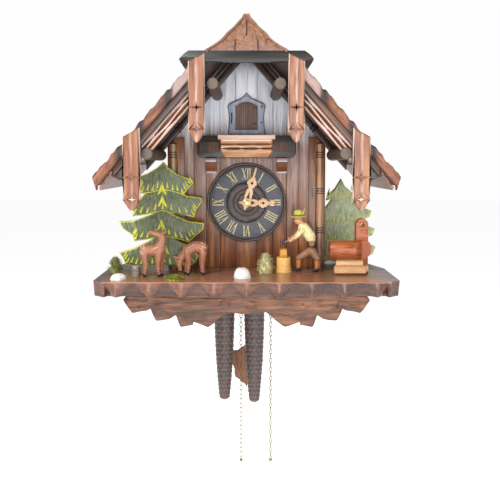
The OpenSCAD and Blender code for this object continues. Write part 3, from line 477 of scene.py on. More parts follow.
# ---- Corner posts ----
# A flat stile and a half-round column in one at each front corner, turned with groups of fine
# beads, stained orange-brown and glued to the panel.
post_wood = wood("post_wood", [(0.3, rgb(62, 33, 18)), (0.5, rgb(112, 66, 38)),
                               (0.68, rgb(160, 108, 68))], coat=0.35, gloss=(0.25, 0.45),
                 light=rgb(206, 190, 158))
posts = Carving()
column_x, column_r = 74.6, 5
bead_groups = (-64.5, -101, -141)
for side in (-1, 1):
    stile = [(side * 63, -180), (side * 80, -180), (side * 80, -57), (side * 71, -47),
             (side * 63, -47)]
    posts.board(stile, -91, -88, bevel=0.7, shift=side * 20)
    profile = [(0, -180), (column_r, -180)]
    for group in reversed(bead_groups):
        for step in (-2.4, 0, 2.4):
            profile += [(column_r, group + step - 0.9), (column_r - 0.8, group + step - 0.5),
                        (column_r - 0.8, group + step + 0.1), (column_r, group + step + 0.5)]
    profile += [(column_r, -54), (0, -51)]
    column = posts.turned(profile, foot=(side * column_x, -90, 0), shift=side * 31)
    beads = [group + step - 0.2 for group in bead_groups for step in (-2.4, 0, 2.4)]
    # Painted shade darkens the bead grooves, and a painted highlight runs as a pale stripe down the front
    # of each column.
    posts.shade(column, burn=lambda p: 0.75 * any(abs(p.z - z) < 0.5 for z in beads),
                pale=lambda p: 0.28 * (p.y < -94) * (abs(p.x - side * (column_x - 1.5)) < 2.0))
    # Punched dots down the stile, drawn as small raised black discs: painted shade for the holes
    for k in range(9):
        dot = (side * 66.8, -91.2, -62 - (k % 3) * 3.2 - (k // 3) * 38)
        posts.shade(posts.turned([(0, 0.3), (0.7, 0.3), (0.9, 0)], dot, (0, -1, 0), 10),
                    burn=lambda p: 1)
posts.settle("turned_posts", "case", "post_wood", post_wood, ["corner_posts"])


# ---- Roof boards, and the shingles that are carved over them ----
# Two softwood boards form the main roof. Split shingles lie on them in courses, and the verge
# at the front is carved to the same steps. Painted shade darkens the head of each course.
SHAKE = tones((58, 26, 13), (118, 64, 38), (168, 108, 76))
dress("roof_boards", wood("roof_wood", tones((46, 30, 20), (84, 58, 40), (120, 90, 66)), FORE_AND_AFT))
eave_x = span("shingles")[1].x
course_feet = [44, 64, 87.5, 106.5, eave_x]
course_notches = [55, 79, 97.5, 121]
random.seed(4)
shingle_rows = Carving()
slope_run = Vector((1, 0, -ROOF_SLOPE)).normalized()


def shingle(side, head, foot, front, back, lift, shift):
    """One split shingle: a wedge from its head, up the slope, to its thicker foot."""
    head_z, foot_z = roof_outer(head), roof_outer(foot)
    outline = [(side * head, head_z - 3.4), (side * foot, foot_z - 0.9 + lift),
               (side * (foot - 0.6), foot_z - 3.6 + lift), (side * (head + 1), head_z - 6.2)]
    made = shingle_rows.board(outline, front, back, bevel=0.3, steps=1,
                              along=(side * slope_run.x, 0, slope_run.z), shift=shift)
    # Painted shade, darkest at the head where the course above covers it.
    shingle_rows.shade(made, burn=lambda p: 0.75 - 0.09 * (abs(p.x) - head))


for side in (-1, 1):
    rows = [(0.6, 23), (21, 46)] + [
        (head - 2, foot) for head, foot in zip(course_feet, course_feet[1:])]
    for row, (head, foot) in enumerate(rows):
        back = -0.3
        last = -96.3 if row < 2 else -182.4
        while back > last + 3:
            front = max(back - random.uniform(11, 19), last)
            if front - last < 5:
                front = last
            shingle(side, head, foot - (2.2 if foot < eave_x else 0) + random.uniform(-1.3, 0),
                    front + 0.25, back, random.uniform(-0.3, 0.25), random.uniform(0, 90))
            back = front


def verge_edge(x):
    """How far the carved verge stands above or below the plain roof line, at |x|."""
    drop = 0.0
    for foot in course_feet[1:-1]:
        drop -= 2.2 * max(0, 1 - abs(x - foot - 1.2) / 2.6)
    for notch in course_notches:
        drop -= 2.4 * max(0, 1 - abs(x - notch) / 3.2) ** 1.3
    return drop + 0.35 * math.sin(x * 1.3) - 0.5


def verge_shade_and_tone(p):
    """Painted shade at the head of each course, fading towards the foot, with a random change of tone lower
    down.
    """
    x = abs(p.x)
    course_shade = 0.0
    for foot in course_feet[1:-1]:
        course_shade = max(course_shade, 1 - abs(x - foot - 3.6) / 5.5)
    return course_shade * 1.25 + 0.35 * noise.noise(p * 0.16) * (x > 62)


for side in (-1, 1):
    def verge_front(u, v, side=side):
        x = 45.5 + (eave_x - 45.5) * u
        top, foot = roof_outer(x) + verge_edge(x), roof_under(x) + 0.4
        lean = 1.1 * min(1, (1 - v) / 0.12, v / 0.12) ** 0.5 if 0 < v < 1 else 0
        cut = 0.35 * noise.noise(Vector((x * 0.3, v * 4, side)))
        end = 3.5 * (1 - v) * max(0, (x - eave_x + 4) / 4)
        return Vector((side * (x - end), -183 - 0.4 - lean + cut, foot + (top - foot) * v))

    edge = shingle_rows.relief(
        170, 8, verge_front, lambda p: Vector((p.x, -178.6, p.z)),
        along=(side * slope_run.x, 0, slope_run.z), shift=side * 50)
    # Painted shade at the head of each course, and a painted highlight on the verge near the ridge.
    shingle_rows.shade(edge, burn=verge_shade_and_tone, pale=lambda p: 0.75 * (abs(p.x) < 64))
    # Lower ends of the boards under the eave, stepped and left grey
    for k in range(3):
        x = 112 + 5.5 * k
        shelf = [(side * x, roof_under(x) + 0.4), (side * (x + 9), roof_under(x + 9) + 0.4),
                 (side * (x + 8), roof_under(x + 9) - 2.4), (side * (x - 0.6), roof_under(x) - 2.2)]
        shingle_rows.shade(shingle_rows.board(shelf, -176 + 4 * k, -4, bevel=0.3, steps=1),
                           pale=lambda p: 0.5)
shingle_finish = wood("shingle_wood", SHAKE, gloss=(0.35, 0.6), coat=0.2, relief=0.3,
                      light=rgb(170, 146, 142), dark=rgb(34, 17, 11), figure=0.2)
shingle_rows.settle("shingle_courses", "case", "shingle_wood", shingle_finish, ["shingles"])


# ---- Hipped cap ----
# The cap is built up of three carved faces over the ridge. Each has two courses of split
# shakes with raised strips on the hips. Its eave board ends in two points and is coloured near black:
# painted shade for its shadowed edge and underside.
cap_low, cap_high = span("roof_cap")
cap_peak = Vector((0, -125, 66.4))
cap_ridge_y = cap_high.y + 0.4
eave_y = cap_low.y + 0.6
cap_fall = 44.4
second_course = 0.52
cap = Carving()
cap_wood = wood("cap_wood",
    tones((112, 72, 50), (160, 114, 88), (190, 150, 126)), gloss=(0.45, 0.7), relief=0.3,
                dark=rgb(64, 40, 30), light=rgb(188, 160, 150), split=0.7, figure=0.22)


def cap_face(u, v, side):
    """A point of the cap: v runs down from the ridge. The front face has side 0 and u from -1
    to 1, and a flank has side -1 or 1 and u from its hip to the back."""
    sag = 3.2 * math.sin(math.pi * v)
    course = 1.1 * (1 - (v % second_course) / second_course) if v > 0.02 else 0
    z = cap_peak.z - cap_fall * v - sag - course
    hip_x = 33 * v + 1.5
    y = cap_peak.y + (eave_y - cap_peak.y) * v
    if side == 0:
        grain = 0.5 * noise.noise(Vector((u * 30, v * 9, 1)))
        return Vector((u * hip_x, y + course * 0.4, z + grain))
    out = (11 * min(1, v / 0.25) ** 0.7 + 5 * v * v) * (1 - (1 - u) ** 2)
    step = 0.9 * (v > 0.55)
    return Vector((side * (hip_x + out), y + (cap_ridge_y - y) * u,
                   z - 0.6 * v * u - step - 0.4 * noise.noise(Vector((u * 30, v * 9, side)))))


for side in (0, -1, 1):
    def face_point(u, v, side=side):
        return cap_face(u * 2 - 1 if side == 0 else u, 1 - v, side)

    face = cap.relief(44, 40, face_point, lambda p: Vector((p.x * 0.96, p.y + 1.6, p.z - 2.2)),
                      along=(side * 0.7, -0.5 if side == 0 else 0, -0.8), shift=30 + side * 17)
    # Painted shade: a dark band under the lip of the upper course.
    line_z = cap_peak.z - cap_fall * second_course - 3.3
    cap.shade(face, burn=lambda p: 0.85 * max(0, 1 - abs(p.z - line_z) / 0.9))
# Splits between the shakes of the front face, and the raised strips on the hips
for k, (x, top, foot) in enumerate(((0, 0.08, 0.5), (-10, 0.56, 0.97), (10, 0.56, 0.97))):
    high, low = cap_face(x / 33, top, 0), cap_face(x / 33, foot, 0)
    bar = [(x - 0.5, low.z), (x + 0.5, low.z), (x + 0.5, high.z), (x - 0.5, high.z)]
    crack = cap.board(bar, -0.4, 0.6, bevel=0.2, steps=1)
    for v in crack:
        share = (v.co.z - low.z) / (high.z - low.z)
        v.co.y += low.y + (high.y - low.y) * share - 0.4
    cap.shade(crack, burn=lambda p: 1)
for side in (-1, 1):
    for k in range(16):
        start, end = cap_face(side, k / 16, 0), cap_face(side, (k + 1) / 16, 0)
        line = end - start
        strip = cap.turned([(0, 0), (1.5, 0), (1.4, line.length + 0.4), (0, line.length + 0.4)],
                           start + Vector((0, -0.2, 0.2)), line, 8, along=line)
        cap.shade(strip, burn=lambda p: 0.2)
cap.turned([(0, 0), (1.3, 0), (1.3, 28.6), (0, 28.6)],
           (0, cap_peak.y, cap_peak.z + 0.2), (0, 1, 0), 10, along=(0, 1, 0))
cap.settle("hipped_cap", "case", "cap_wood", cap_wood, ["roof_cap"])

eave_board = Carving()
tip_z = 15.2
half_eave = [(57.8, tip_z), (56, tip_z + 2.6), (53, tip_z + 5.2), (49.6, tip_z + 7.4)]
outline = ([(48.5, 13.7)] + half_eave + [(-x, z) for x, z in reversed(half_eave)]
           + [(-48.5, 13.7), (-20, 12.9), (20, 12.9)])
eave_board.board(outline, eave_y - 0.5, eave_y + 5, bevel=0.8, along=(1, 0, 0))
for side in (-1, 1):
    flank = [(side * 46, 13.8), (side * 57.6, 14.6), (side * 54, 19.6), (side * 46, 21.5)]
    eave_board.board(flank, eave_y + 5, cap_ridge_y, bevel=0.4, along=(0, 1, 0))
# Near-black colour: painted shade for the eave board's shadowed edge and underside.
eave_board.settle("cap_eave", "case", "dark_wood", wood(
    "eave_painted_shade", [(0.3, rgb(14, 13, 12)), (0.55, rgb(30, 27, 25)), (0.75, rgb(52, 44, 38))],
    gloss=(0.3, 0.5), coat=0.2))


# ---- Rakes, fascias, rafters and log ends under the roof ----
# A dark rake hangs below the verge. Behind it a lighter fascia is cut with long lens-shaped
# flutes, and dark rafters and four round logs carry the overhang.
fascia_front, fascia_back = -178.4, span("gable_boards")[1].y
rake_finish = wood("rake_wood",
    tones((32, 17, 11), (62, 34, 21), (104, 64, 40)), coat=0.3, gloss=(0.28, 0.45))
rakes = Carving()
for side in (-1, 1):
    line = (side * slope_run.x, 0, slope_run.z)
    rake = [(side * 0.2, roof_under(0) - 46), (side * 41, roof_under(41)),
            (side * 116, roof_under(116)), (side * 116, roof_under(116) - 8),
            (side * 41, roof_under(41) - 8)]
    rakes.board(rake[1:], -182.5, -178.5, bevel=0.9, along=line, shift=side * 9)
    foot = [(side * 107, roof_under(107) - 8), (side * 118, roof_under(118) - 0.5),
            (side * 119, roof_under(119) - 4), (side * 112, roof_under(118) - 9),
            (side * 107, roof_under(107) - 17)]
    rakes.board(foot, -177, -150, bevel=0.6, along=(0, 1, 0), shift=side * 5)
rakes.settle("rake_boards", "case", "dark_wood", rake_finish)

fascia = Carving()


def flute_depth(x, v):
    """Depth of the lens-shaped flutes in the fascia at |x|, v up from its lower edge."""
    depth = 0.0
    for k in range(5):
        middle, height = 44 + 12.5 * k, 0.3 if k % 2 else 0.66
        lens = 1 - ((x - middle) / 13) ** 2
        if lens > 0:
            depth = max(depth, 1 - abs(v - height) / (0.16 * lens))
    return depth


for side in (-1, 1):
    def fascia_point(u, v, side=side):
        x = 40.5 + 51 * u
        z = roof_under(x) - 23 + 15.4 * v
        edge = 0.8 * max(0, abs(v - 0.5) - 0.4) / 0.1
        return Vector((side * x, fascia_front + edge + 2.6 * max(0, flute_depth(x, v)), z))

    strip = fascia.relief(120, 26, fascia_point, lambda p: Vector((p.x, fascia_back, p.z)),
                          along=(side * slope_run.x, 0, slope_run.z), shift=side * 61)
    # A painted highlight lightens the flat front of the fascia, and painted shade darkens the deep flutes.
    fascia.shade(strip, pale=lambda p: 0.85 * (1 - max(0, min(1, (p.y - fascia_front) * 1.2))),
                 burn=lambda p: 0.25 * max(0, min(1, p.y - fascia_front - 1.3)))
fascia_finish = wood("fascia_wood", tones((84, 44, 22), (136, 82, 50), (176, 128, 96)), coat=0.35,
                     gloss=(0.25, 0.45), light=rgb(196, 172, 164))
fascia.settle("fluted_fascia", "case", "fascia_wood", fascia_finish, ["gable_boards"])

rafters = Carving()
for side in (-1, 1):
    line = (side * slope_run.x, 0, slope_run.z)
    for top, foot, front, end in ((18, 24.5, -97, 102), (25.2, 33, -95.6, 101)):
        rafter = [(side * 0.2, roof_outer(0) - top), (side * end, roof_outer(end) - top),
                  (side * end, roof_outer(end) - foot), (side * 0.2, roof_outer(0) - foot)]
        rafters.board(rafter, front, -88, bevel=0.8, along=line, shift=side * top)
    # Turned marks on the lower rafters
    for x in (50, 52.4, 66, 68.4):
        mark = Vector((side * x, -97.3, roof_outer(x) - 28.6))
        rafters.turned([(0, 0), (4.3, 0), (4.7, 0.7), (4.3, 1.4), (0, 1.4)], mark,
                       line, 12, along=line)
rafters.settle("dark_rafters", "case", "dark_wood", wood(
    "rafter_wood", tones((22, 13, 9), (48, 29, 19), (92, 62, 42)),
    coat=0.25, gloss=(0.3, 0.5)), ["gable_rafters"])

logs = Carving()
log_low, log_high = span("purlin_logs")
for side in (-1, 1):
    for x, z in ((29.5, -4.5), (87, -65)):
        length = log_high.y - log_low.y
        log = logs.turned([(0, 0), (5.75, 0), (5.75, length - 9), (5.55, length - 3),
                           (5.3, length - 0.9), (4.6, length - 0.1), (3, length + 0.15),
                           (0, length + 0.2)],
                          (side * x, log_high.y, z), (0, -1, 0), 11, along=(0, 1, 0),
                          shift=x + side * 7)
        # The logs are darkened a little all over, and further back under the roof with painted shade.
        logs.shade(log, pale=lambda p: 0.55 * (p.y < log_low.y + 0.95),
                   burn=lambda p: 0.35 + 0.3 * (p.y > -150))
logs.settle("log_ends", "case", "log_wood", wood(
    "log_wood", tones((52, 34, 24), (92, 64, 46), (128, 98, 76)),
    gloss=(0.4, 0.6), light=rgb(132, 120, 112)), ["purlin_logs"])


# ---- Hanging boards ----
# Four narrow boards hang from the verge, each pierced with two four-pointed stars and cut to
# a pointed arch at its foot. Their edges are chamfered and left pale.
def star(x, z, size):
    return [(x + r * math.cos(math.radians(a)), z + r * math.sin(math.radians(a)))
            for r, a in ((size if k % 2 == 0 else size * 0.3, 45 * k) for k in range(8))]


hanging = Carving()
for side in (-1, 1):
    for x, top, foot, half, stars in ((43, -1, -56, 7, (-25.5, -44.4)),
                                      (99.5, -61, -115, 7.5, (-85.7, -105))):
        point = [(x + half * t, foot + 10.5 * abs(t) ** 1.6) for t in
                 (-1, -0.86, -0.66, -0.4, -0.15, 0.15, 0.4, 0.66, 0.86, 1)]
        outline = point + [(x + half, roof_outer(x + half) + 3), (x - half, roof_outer(x - half) - 6)]
        outline = [(side * px, pz) for px, pz in outline]
        hanging.board(outline, -187, -183, holes=[star(side * x, z, 3.7) for z in stars],
                      bevel=1.1, steps=1, shift=side * x)
hanging_finish = wood("pendant_wood", tones((80, 42, 24), (134, 80, 50), (178, 126, 92)), coat=0.3,
                      gloss=(0.26, 0.45), light=rgb(226, 204, 190))


def with_painted_highlight(finish):
    """Adds a painted highlight, a pale streak down the middle of each hanging board, and pales the
    chamfered edges.
    """
    spot = finish.place()
    x = finish.node("ShaderNodeSeparateXYZ", None, {"Vector": spot}, out="X")
    away = finish.node("ShaderNodeMath", {"operation": "ABSOLUTE"}, {0: x})
    inner = finish.node("ShaderNodeMath", {"operation": "ABSOLUTE"}, {0: away - 43})
    outer = finish.node("ShaderNodeMath", {"operation": "ABSOLUTE"}, {0: away - 99.5})
    ragged = finish.noise(finish.stretched(spot, (1, 1, 0.08)), 0.9, 3.0) * 3.4
    streak = (inner + ragged).between(1.0, 3.6, 0.62, 0) + (outer + ragged).between(1, 3.4, 0.4, 0)
    rim = inner.between(5.9, 6.5) * outer.between(6.3, 7.0)
    colour = Link(finish, finish.shader.inputs["Base Color"].links[0].from_socket)
    colour = finish.mix(streak, colour, rgb(214, 188, 178))
    finish.put("Base Color", finish.mix(rim * 0.8, colour, rgb(226, 202, 184)))
    return finish


hanging.settle("hanging_boards", "case", "pendant_wood", with_painted_highlight(hanging_finish),
               ["pendant_boards"])


# ---- Balcony ----
# A dark backing board with a combed face carries a flower trough of pale wood, cut with long
# lens-shaped flutes, under a light sill. Two moulded brackets hold it up.
balcony_low, balcony_high = span("balcony_board")
trough_low, trough_high = span("balcony_trough")
backing = Carving()
top, foot, half = balcony_high.z, balcony_low.z, balcony_high.x
corner = arc((half - 6, foot + 6), 6, -90, 0, 6)
outline = corner + [(half, top), (-half, top)] + [(-x, z) for x, z in reversed(corner)]
backing.board(outline, balcony_low.y, balcony_high.y, bevel=0.8, along=(1, 0, 0))
for side in (-1, 1):
    for k in range(11):
        x = side * (28.6 + 1.75 * k)
        tooth = [(x - 0.55, foot + 6.2), (x + 0.55, foot + 6.2), (x + 0.75, top - 6.5),
                 (x - 0.35, top - 6.5)]
        rib = backing.board(tooth, balcony_low.y - 0.8, balcony_low.y + 0.3, bevel=0.3, steps=1)
        backing.shade(rib, pale=lambda p: 0.22 if abs(p.x) < 38 else 0.06)
backing.settle("balcony_backing", "case", "dark_wood", wood(
    "balcony_wood", tones((20, 13, 10), (34, 22, 17), (56, 38, 28)),
    coat=0.3, gloss=(0.3, 0.5), light=rgb(196, 122, 70)), ["balcony_board"])

trough = Carving()
light_wood = wood("trough_wood",
    tones((134, 78, 34), (178, 122, 74), (214, 168, 132)), coat=0.45, gloss=(0.22, 0.4),
                  light=rgb(236, 208, 190), dark=rgb(62, 26, 12))


def trough_point(u, v):
    """The trough's front: two rows of long flutes over a chamfered, shaped foot."""
    half = 25.5 - 4.2 * max(0, (0.28 - v) / 0.28)
    x = (2 * u - 1) * half
    cut = 0.0
    for middle in (-17.5, 0, 17.5):
        for height in (0.74, 0.5):
            lens = 1 - ((x - middle - (4 if height < 0.6 else -3)) / 11.5) ** 2
            if lens > 0:
                cut = max(cut, 1 - abs(v - height) / (0.095 * lens))
    tuck = 2.6 * max(0, (0.28 - v) / 0.28)
    round_off = 1.2 * max(0, abs(2 * u - 1) - 0.955) / 0.045
    return Vector((x, trough_low.y + 1 + 2.2 * cut + tuck + round_off, -67.3 + 17.2 * v))


body = trough.relief(130, 40, trough_point, lambda p: Vector((p.x, trough_high.y, p.z)),
                     along=(1, 0, 0))
# Painted shade darkens the flutes with their depth, and a painted highlight lightens the front faces beside
# them.
trough.shade(body, burn=lambda p: 0.8 * max(0, min(1, (p.y - trough_low.y - 1.7) / 1.4)) * (p.z > -62),
             pale=lambda p: 0.75 * (p.y < trough_low.y + 1.5) * (abs(p.z + 58.5) < 1.3 or p.z > -51.5))
sill = [(-28, -49.9), (28, -49.9), (28, -45.7), (-28, -45.7)]
# The sill is paler wood, with a painted highlight along its top.
trough.shade(trough.board(sill, trough_low.y, trough_high.y, bevel=0.6, along=(1, 0, 0), shift=40),
             pale=lambda p: 0.8 if p.z > -46.8 else 0.4)
trough.settle("flower_trough", "case", "trough_wood", light_wood, ["balcony_trough"])

brackets = Carving()
for side in (-1, 1):
    for low_z, high_z, front, strength in ((-83.4, -81.3, -95.4, 0.6), (-81.3, -72, -101, 0),
                                           (-72, -70.1, -103.2, 0.75), (-70.1, -68.2, -104.6, 0.15)):
        step = [(side * 30.2, low_z), (side * 40.8, low_z), (side * 40.8, high_z),
                (side * 30.2, high_z)]
        block = brackets.board(step, front, -88, bevel=0.6, along=(1, 0, 0), shift=low_z)
        if not strength:
            for v in block:
                v.co.y += 5.2 * max(0, (-73.5 - v.co.z) / 8) ** 1.3 if v.co.y < -90 else 0
        # A painted highlight lightens the thin fillets of the brackets.
        brackets.shade(block, pale=lambda p: strength)
brackets.settle("moulded_brackets", "case", "dark_wood", wood(
    "bracket_wood", BROWN, coat=0.4, gloss=(0.25, 0.45), light=rgb(196, 190, 196)),
    ["balcony_brackets"])


# ---- Doorway: ogee frame, ribbed door, hinges and latch ----
# A flat ogee frame is glued round the doorway. The door is one piece of wood scored into
# battens, hung on two wire hinges, and a wire latch on a pin can be turned over it.
frame_low, frame_high = span("door_frame")
half_ogee = [(18.3, -44), (17.4, -36), (17, -28), (17.6, -21.5), (18.6, -17), (17.6, -14.2),
             (14.6, -12.2), (10, -10.4), (5.4, -8.2), (2.2, -5.4)]
ogee = half_ogee + [(0, -3)] + [(-x, z) for x, z in reversed(half_ogee)]
opening = door_half + 1
swing = math.degrees(math.asin(opening / (door_arch_r + 1)))
doorway = (arc(door_arch_c, door_arch_r + 1, 90 - swing, 90 + swing, 14)
           + [(-opening, -39.5), (opening, -39.5)])
surround = Carving()
made = surround.board(ogee, frame_low.y, frame_high.y, holes=[doorway], bevel=0.7, steps=2)
# The frame's blue-grey colour is a painted reflection of a light on the stained wood.
surround.settle("ogee_frame", "case", "frame_wood", wood(
    "frame_wood", tones((112, 116, 130), (148, 156, 176), (178, 186, 204)), gloss=(0.3, 0.5), coat=0.2,
    dark=rgb(60, 52, 52)), ["door_frame"])
# A black board just round the frame: painted shadow outlining the frame.
shadow_line = Carving()
edge = [(x * 1.045, z + (0.9 if z > -40 else 0)) for x, z in ogee]
shadow_line.board(edge, frame_high.y - 0.5, frame_high.y + 0.4, bevel=0.15, steps=1,
                  holes=[doorway])
shadow_line.settle("frame_shadow_line", "case", "dark_wood", wood(
    "shadow_line_black", [(0.3, rgb(16, 13, 12)), (0.6, rgb(32, 26, 24))], turn=UPRIGHT))

door = Carving()
battens = 11
width = 2 * door_half / battens
for k in range(battens):
    left = -door_half + k * width + 0.12
    right = left + width - 0.24
    tops = [math.sqrt(door_arch_r ** 2 - x * x) + door_arch_c[1] for x in (right, left)]
    door.board([(left, -38.4), (right, -38.4), (right, tops[0]), (left, tops[1])],
               -89, -86.4, bevel=0.3, steps=2, shift=k * 5.3)
slab = [(-door_half, -38.4), (door_half, -38.4), (door_half, -15.6)] + arc(
    door_arch_c, door_arch_r, 46, 134, 10)[1:-1] + [(-door_half, -15.6)]
door.shade(door.board(slab, -88.2, -86, bevel=0), burn=lambda p: 1)
door.settle("battened_door", "door", "door_wood", wood(
    "door_wood", tones((74, 52, 44), (120, 92, 82), (158, 130, 116)),
    gloss=(0.4, 0.6)), ["bird_door"])


def wire(name, body, slot, finish, stands_for=(), *runs):
    """A piece of bent wire: each run is a radius and the points that it passes through."""
    bent = Carving()
    for radius, *points in runs:
        bent.limb(*[(*p, radius) for p in points])
    bent.settle(name, body, slot, finish, stands_for, sharp=50)


def metal(name, colour, rough=0.35, mottle=0.25, metallic=1.0):
    """Metal with a faint tarnish in its polish."""
    made = Finish(name, metallic=metallic)
    spot = made.place()
    cloud = made.noise(spot, 0.22, 4.0)
    shade = [max(0, c * (1 - mottle)) for c in colour[:3]] + [1]
    made.put("Base Color", made.ramp(cloud, [(0.35, shade), (0.62, colour)]))
    made.put("Roughness", cloud.between(0.3, 0.7, rough, rough + 0.18))
    made.bump(made.noise(spot, 2.6, 2.0), 0.03)
    return made


black_wire = metal("black_wire", rgb(40, 38, 38), 0.45)
wire("door_hinges", "door", "dark_steel", black_wire, (),
     (0.33, (7.2, -89.2, -17.3), (10, -89.2, -17.1)),
     (0.33, (7.2, -89.2, -33.2), (10, -89.2, -33)))
wire("hinge_hooks", "case", "dark_steel", black_wire, (),
     (0.4, (14.8, -91.5, -17.4), (14.9, -91.9, -16.4), (16.2, -91.6, -15.6)),
     (0.4, (14.8, -91.5, -33.4), (14.9, -91.9, -32.4), (16.2, -91.6, -31.6)))
wire("wire_latch", "latch", "dark_steel", black_wire, ["door_latch"],
     (0.85, (-14.9, -91.6, -23.5), (-14.9, -93.4, -23.5)),
     (0.55, (-14.9, -93.2, -23.5), (-14.6, -93.3, -28), (-15.1, -93.1, -32.8)))


# ---- Dial, numerals and hands ----
# A turned wooden dial, charcoal blue with a brown rim and a ringed brown boss, carries
# pressed-in bone-coloured numerals. The pierced hands are fretted from pale maple.
front = dial_high.y
dial = Carving()
plate_r = 40.3
dial.turned([(0, 0), (plate_r, 0), (plate_r, 3.0), (39.9, 3.9), (39.2, 4.3), (38.4, 4.1),
             (37.9, 3.4), (37.5, 3.1), (37.0, 3.3), (36.7, 3.42), (30, 3.42), (23, 3.42),
             (21.2, 3.42), (20.6, 3.0), (20.0, 3.3), (19.6, 4.2), (18.6, 4.75), (16.4, 4.75),
             (14.4, 4.6), (13.8, 3.9), (13.1, 4.0), (12.4, 4.7), (11, 4.8), (10, 4.6),
             (9.4, 3.9), (8.8, 4.0), (8.2, 4.7), (5, 4.9), (3.6, 4.8), (3.6, 1)],
            (0, front, dial_centre.z), (0, -1, 0), 128, along=(1, 0, 0))


def dial_finish():
    """Charcoal lacquer, with the rim and the boss left brown."""
    made = Finish("dial", coat_weight=0.15, coat_roughness=0.3)
    spot = made.place()
    x = made.node("ShaderNodeSeparateXYZ", None, {"Vector": spot}, out="X")
    z = made.node("ShaderNodeSeparateXYZ", None, {"Vector": spot}, out="Z") - dial_centre.z
    away = made.node("ShaderNodeMath", {"operation": "SQRT"}, {0: x * x + z * z})
    weave = made.noise(spot, 0.5, 5.0)
    lacquer = made.ramp(weave, [(0.35, rgb(50, 52, 62)), (0.65, rgb(76, 78, 88))])
    grain = made.noise(made.stretched(spot, (0.1, 1, 1)), 0.9, 4.0)
    turned = made.ramp(grain, [(0.3, rgb(38, 28, 25)), (0.6, rgb(74, 58, 52)),
                               (0.75, rgb(104, 84, 76))])
    rim = made.ramp(grain, [(0.3, rgb(52, 38, 32)), (0.7, rgb(104, 80, 66))])
    # Painted shade: a near-black ring in the turned groove.
    groove = away.between(36.9, 37.3) * away.between(38.2, 37.8)
    colour = made.mix(away.between(20.6, 20.0), lacquer, turned)
    colour = made.mix(away.between(37.9, 38.3), colour, rim)
    made.put("Base Color", made.mix(groove, colour, rgb(12, 11, 11)))
    made.put("Roughness", weave.between(0.3, 0.7, 0.42, 0.6))
    made.bump(weave, 0.05)
    return made


dial.settle("turned_dial", "case", "dial", dial_finish(), ["dial_face"])

numerals = Carving()
numeral_low, numeral_high = 23.0, 34.6
words = ["XII", "I", "II", "III", "IIII", "V", "VI", "VII", "VIII", "IX", "X", "XI"]
stroke_gap = 2.35


def mark_width(letter):
    return 1 if letter == "I" else 2.1


def add_stroke(x_foot, x_head, width, foot, head, turn):
    """One stroke with a serif at each end."""
    outlines = [[(x_foot - width / 2, foot), (x_foot + width / 2, foot),
                 (x_head + width / 2, head), (x_head - width / 2, head)]]
    for x, y in ((x_foot, foot + 0.35), (x_head, head - 0.35)):
        reach = width / 2 + 0.65
        outlines.append([(x - reach, y - 0.35), (x + reach, y - 0.35), (x + reach, y + 0.35),
                         (x - reach, y + 0.35)])
    for outline in outlines:
        turned = [(px * math.cos(turn) + pz * math.sin(turn),
                   dial_centre.z - px * math.sin(turn) + pz * math.cos(turn))
                  for px, pz in outline]
        numerals.board(turned, front - 4.25, front - 3.3, bevel=0.18, steps=1)


for hour, word in enumerate(words):
    turn = math.radians(30 * hour)
    total = sum(mark_width(letter) for letter in word)
    spot = -total / 2
    for letter in word:
        x = (spot + mark_width(letter) / 2) * stroke_gap
        spot += mark_width(letter)
        if letter == "I":
            add_stroke(x, x, 1.15, numeral_low, numeral_high, turn)
        else:
            foot = 0 if letter == "V" else 1.75
            add_stroke(x + foot, x - 1.75, 1.3, numeral_low, numeral_high, turn)
            add_stroke(x - foot, x + 1.75, 0.6, numeral_low, numeral_high, turn)


def bone(name, shades, rough=0.5):
    """Bone-like moulding or bare maple: pale, with a soft mottle."""
    made = Finish(name)
    spot = made.place()
    cloud = made.noise(spot, 0.8, 4.0, 0.5)
    made.put("Base Color", made.ramp(cloud, shades))
    made.put("Roughness", cloud.between(0.3, 0.7, rough, rough + 0.15))
    made.bump(made.noise(spot, 3.0, 3.0), 0.05)
    return made


numerals.settle("roman_numerals", "case", "numeral", bone("numeral",
    tones((150, 138, 100), (206, 192, 148), (226, 214, 176))),
    ["numerals"])


def hand_shape(length, crown):
    """Half outline of a fretted hand with a crown, from its tail up to its tip."""
    return [(0, -8.5), (1.0, -6.2), (1.6, -4.6), (2.9, -3.4), (4.1, -1.4), (4.2, 1.0),
            (3.4, 2.6), (3.3, 4.4), (3.9, 6.2), (3.4, crown - 8.6), (2.0, crown - 6.8),
            (2.1, crown - 5.6), (3.6, crown - 5.0), (3.4, crown - 3.4), (4.9, crown - 2.6),
            (5.0, crown - 0.6), (4.0, crown + 0.3), (4.3, crown + 1.8), (2.6, crown + 2.7),
            (1.9, crown + 4.6), (1.1, crown + 5.4), (1.0, (crown + length) / 2 + 2),
            (0.85, length - 0.8), (0, length)]


def fretted_hand(name, body, node, angle, length, crown, hole, y, head=None):
    """Saws a hand out of thin maple, points it and settles it on its arbor."""
    half = hand_shape(length, crown)
    if head:
        half = [p for p in half if p[1] < crown + 5] + head
    outline = half + [(-x, z) for x, z in reversed(half) if x > 0]
    holes = [arc((0, 0), hole, 360, 20, 17), arc((0, crown - 1.1), 1.35, 360, 30, 11),
             [(0, crown - 9.2), (-1.0, 7.2), (-1.9, 5.6), (-1.2, 4.6), (1.2, 4.6), (1.9, 5.6),
              (1.0, 7.2)]]
    turn = math.radians(angle)

    def turned(loop):
        return [(x * math.cos(turn) + z * math.sin(turn),
                 dial_centre.z - x * math.sin(turn) + z * math.cos(turn)) for x, z in loop]

    hand = Carving()
    hand.board(turned(outline), y, y + 0.8, holes=[turned(loop) for loop in holes],
               bevel=0.16, steps=2, along=(math.sin(turn), 0, math.cos(turn)))
    hand.settle(name, body, "hand_wood", maple, [node])


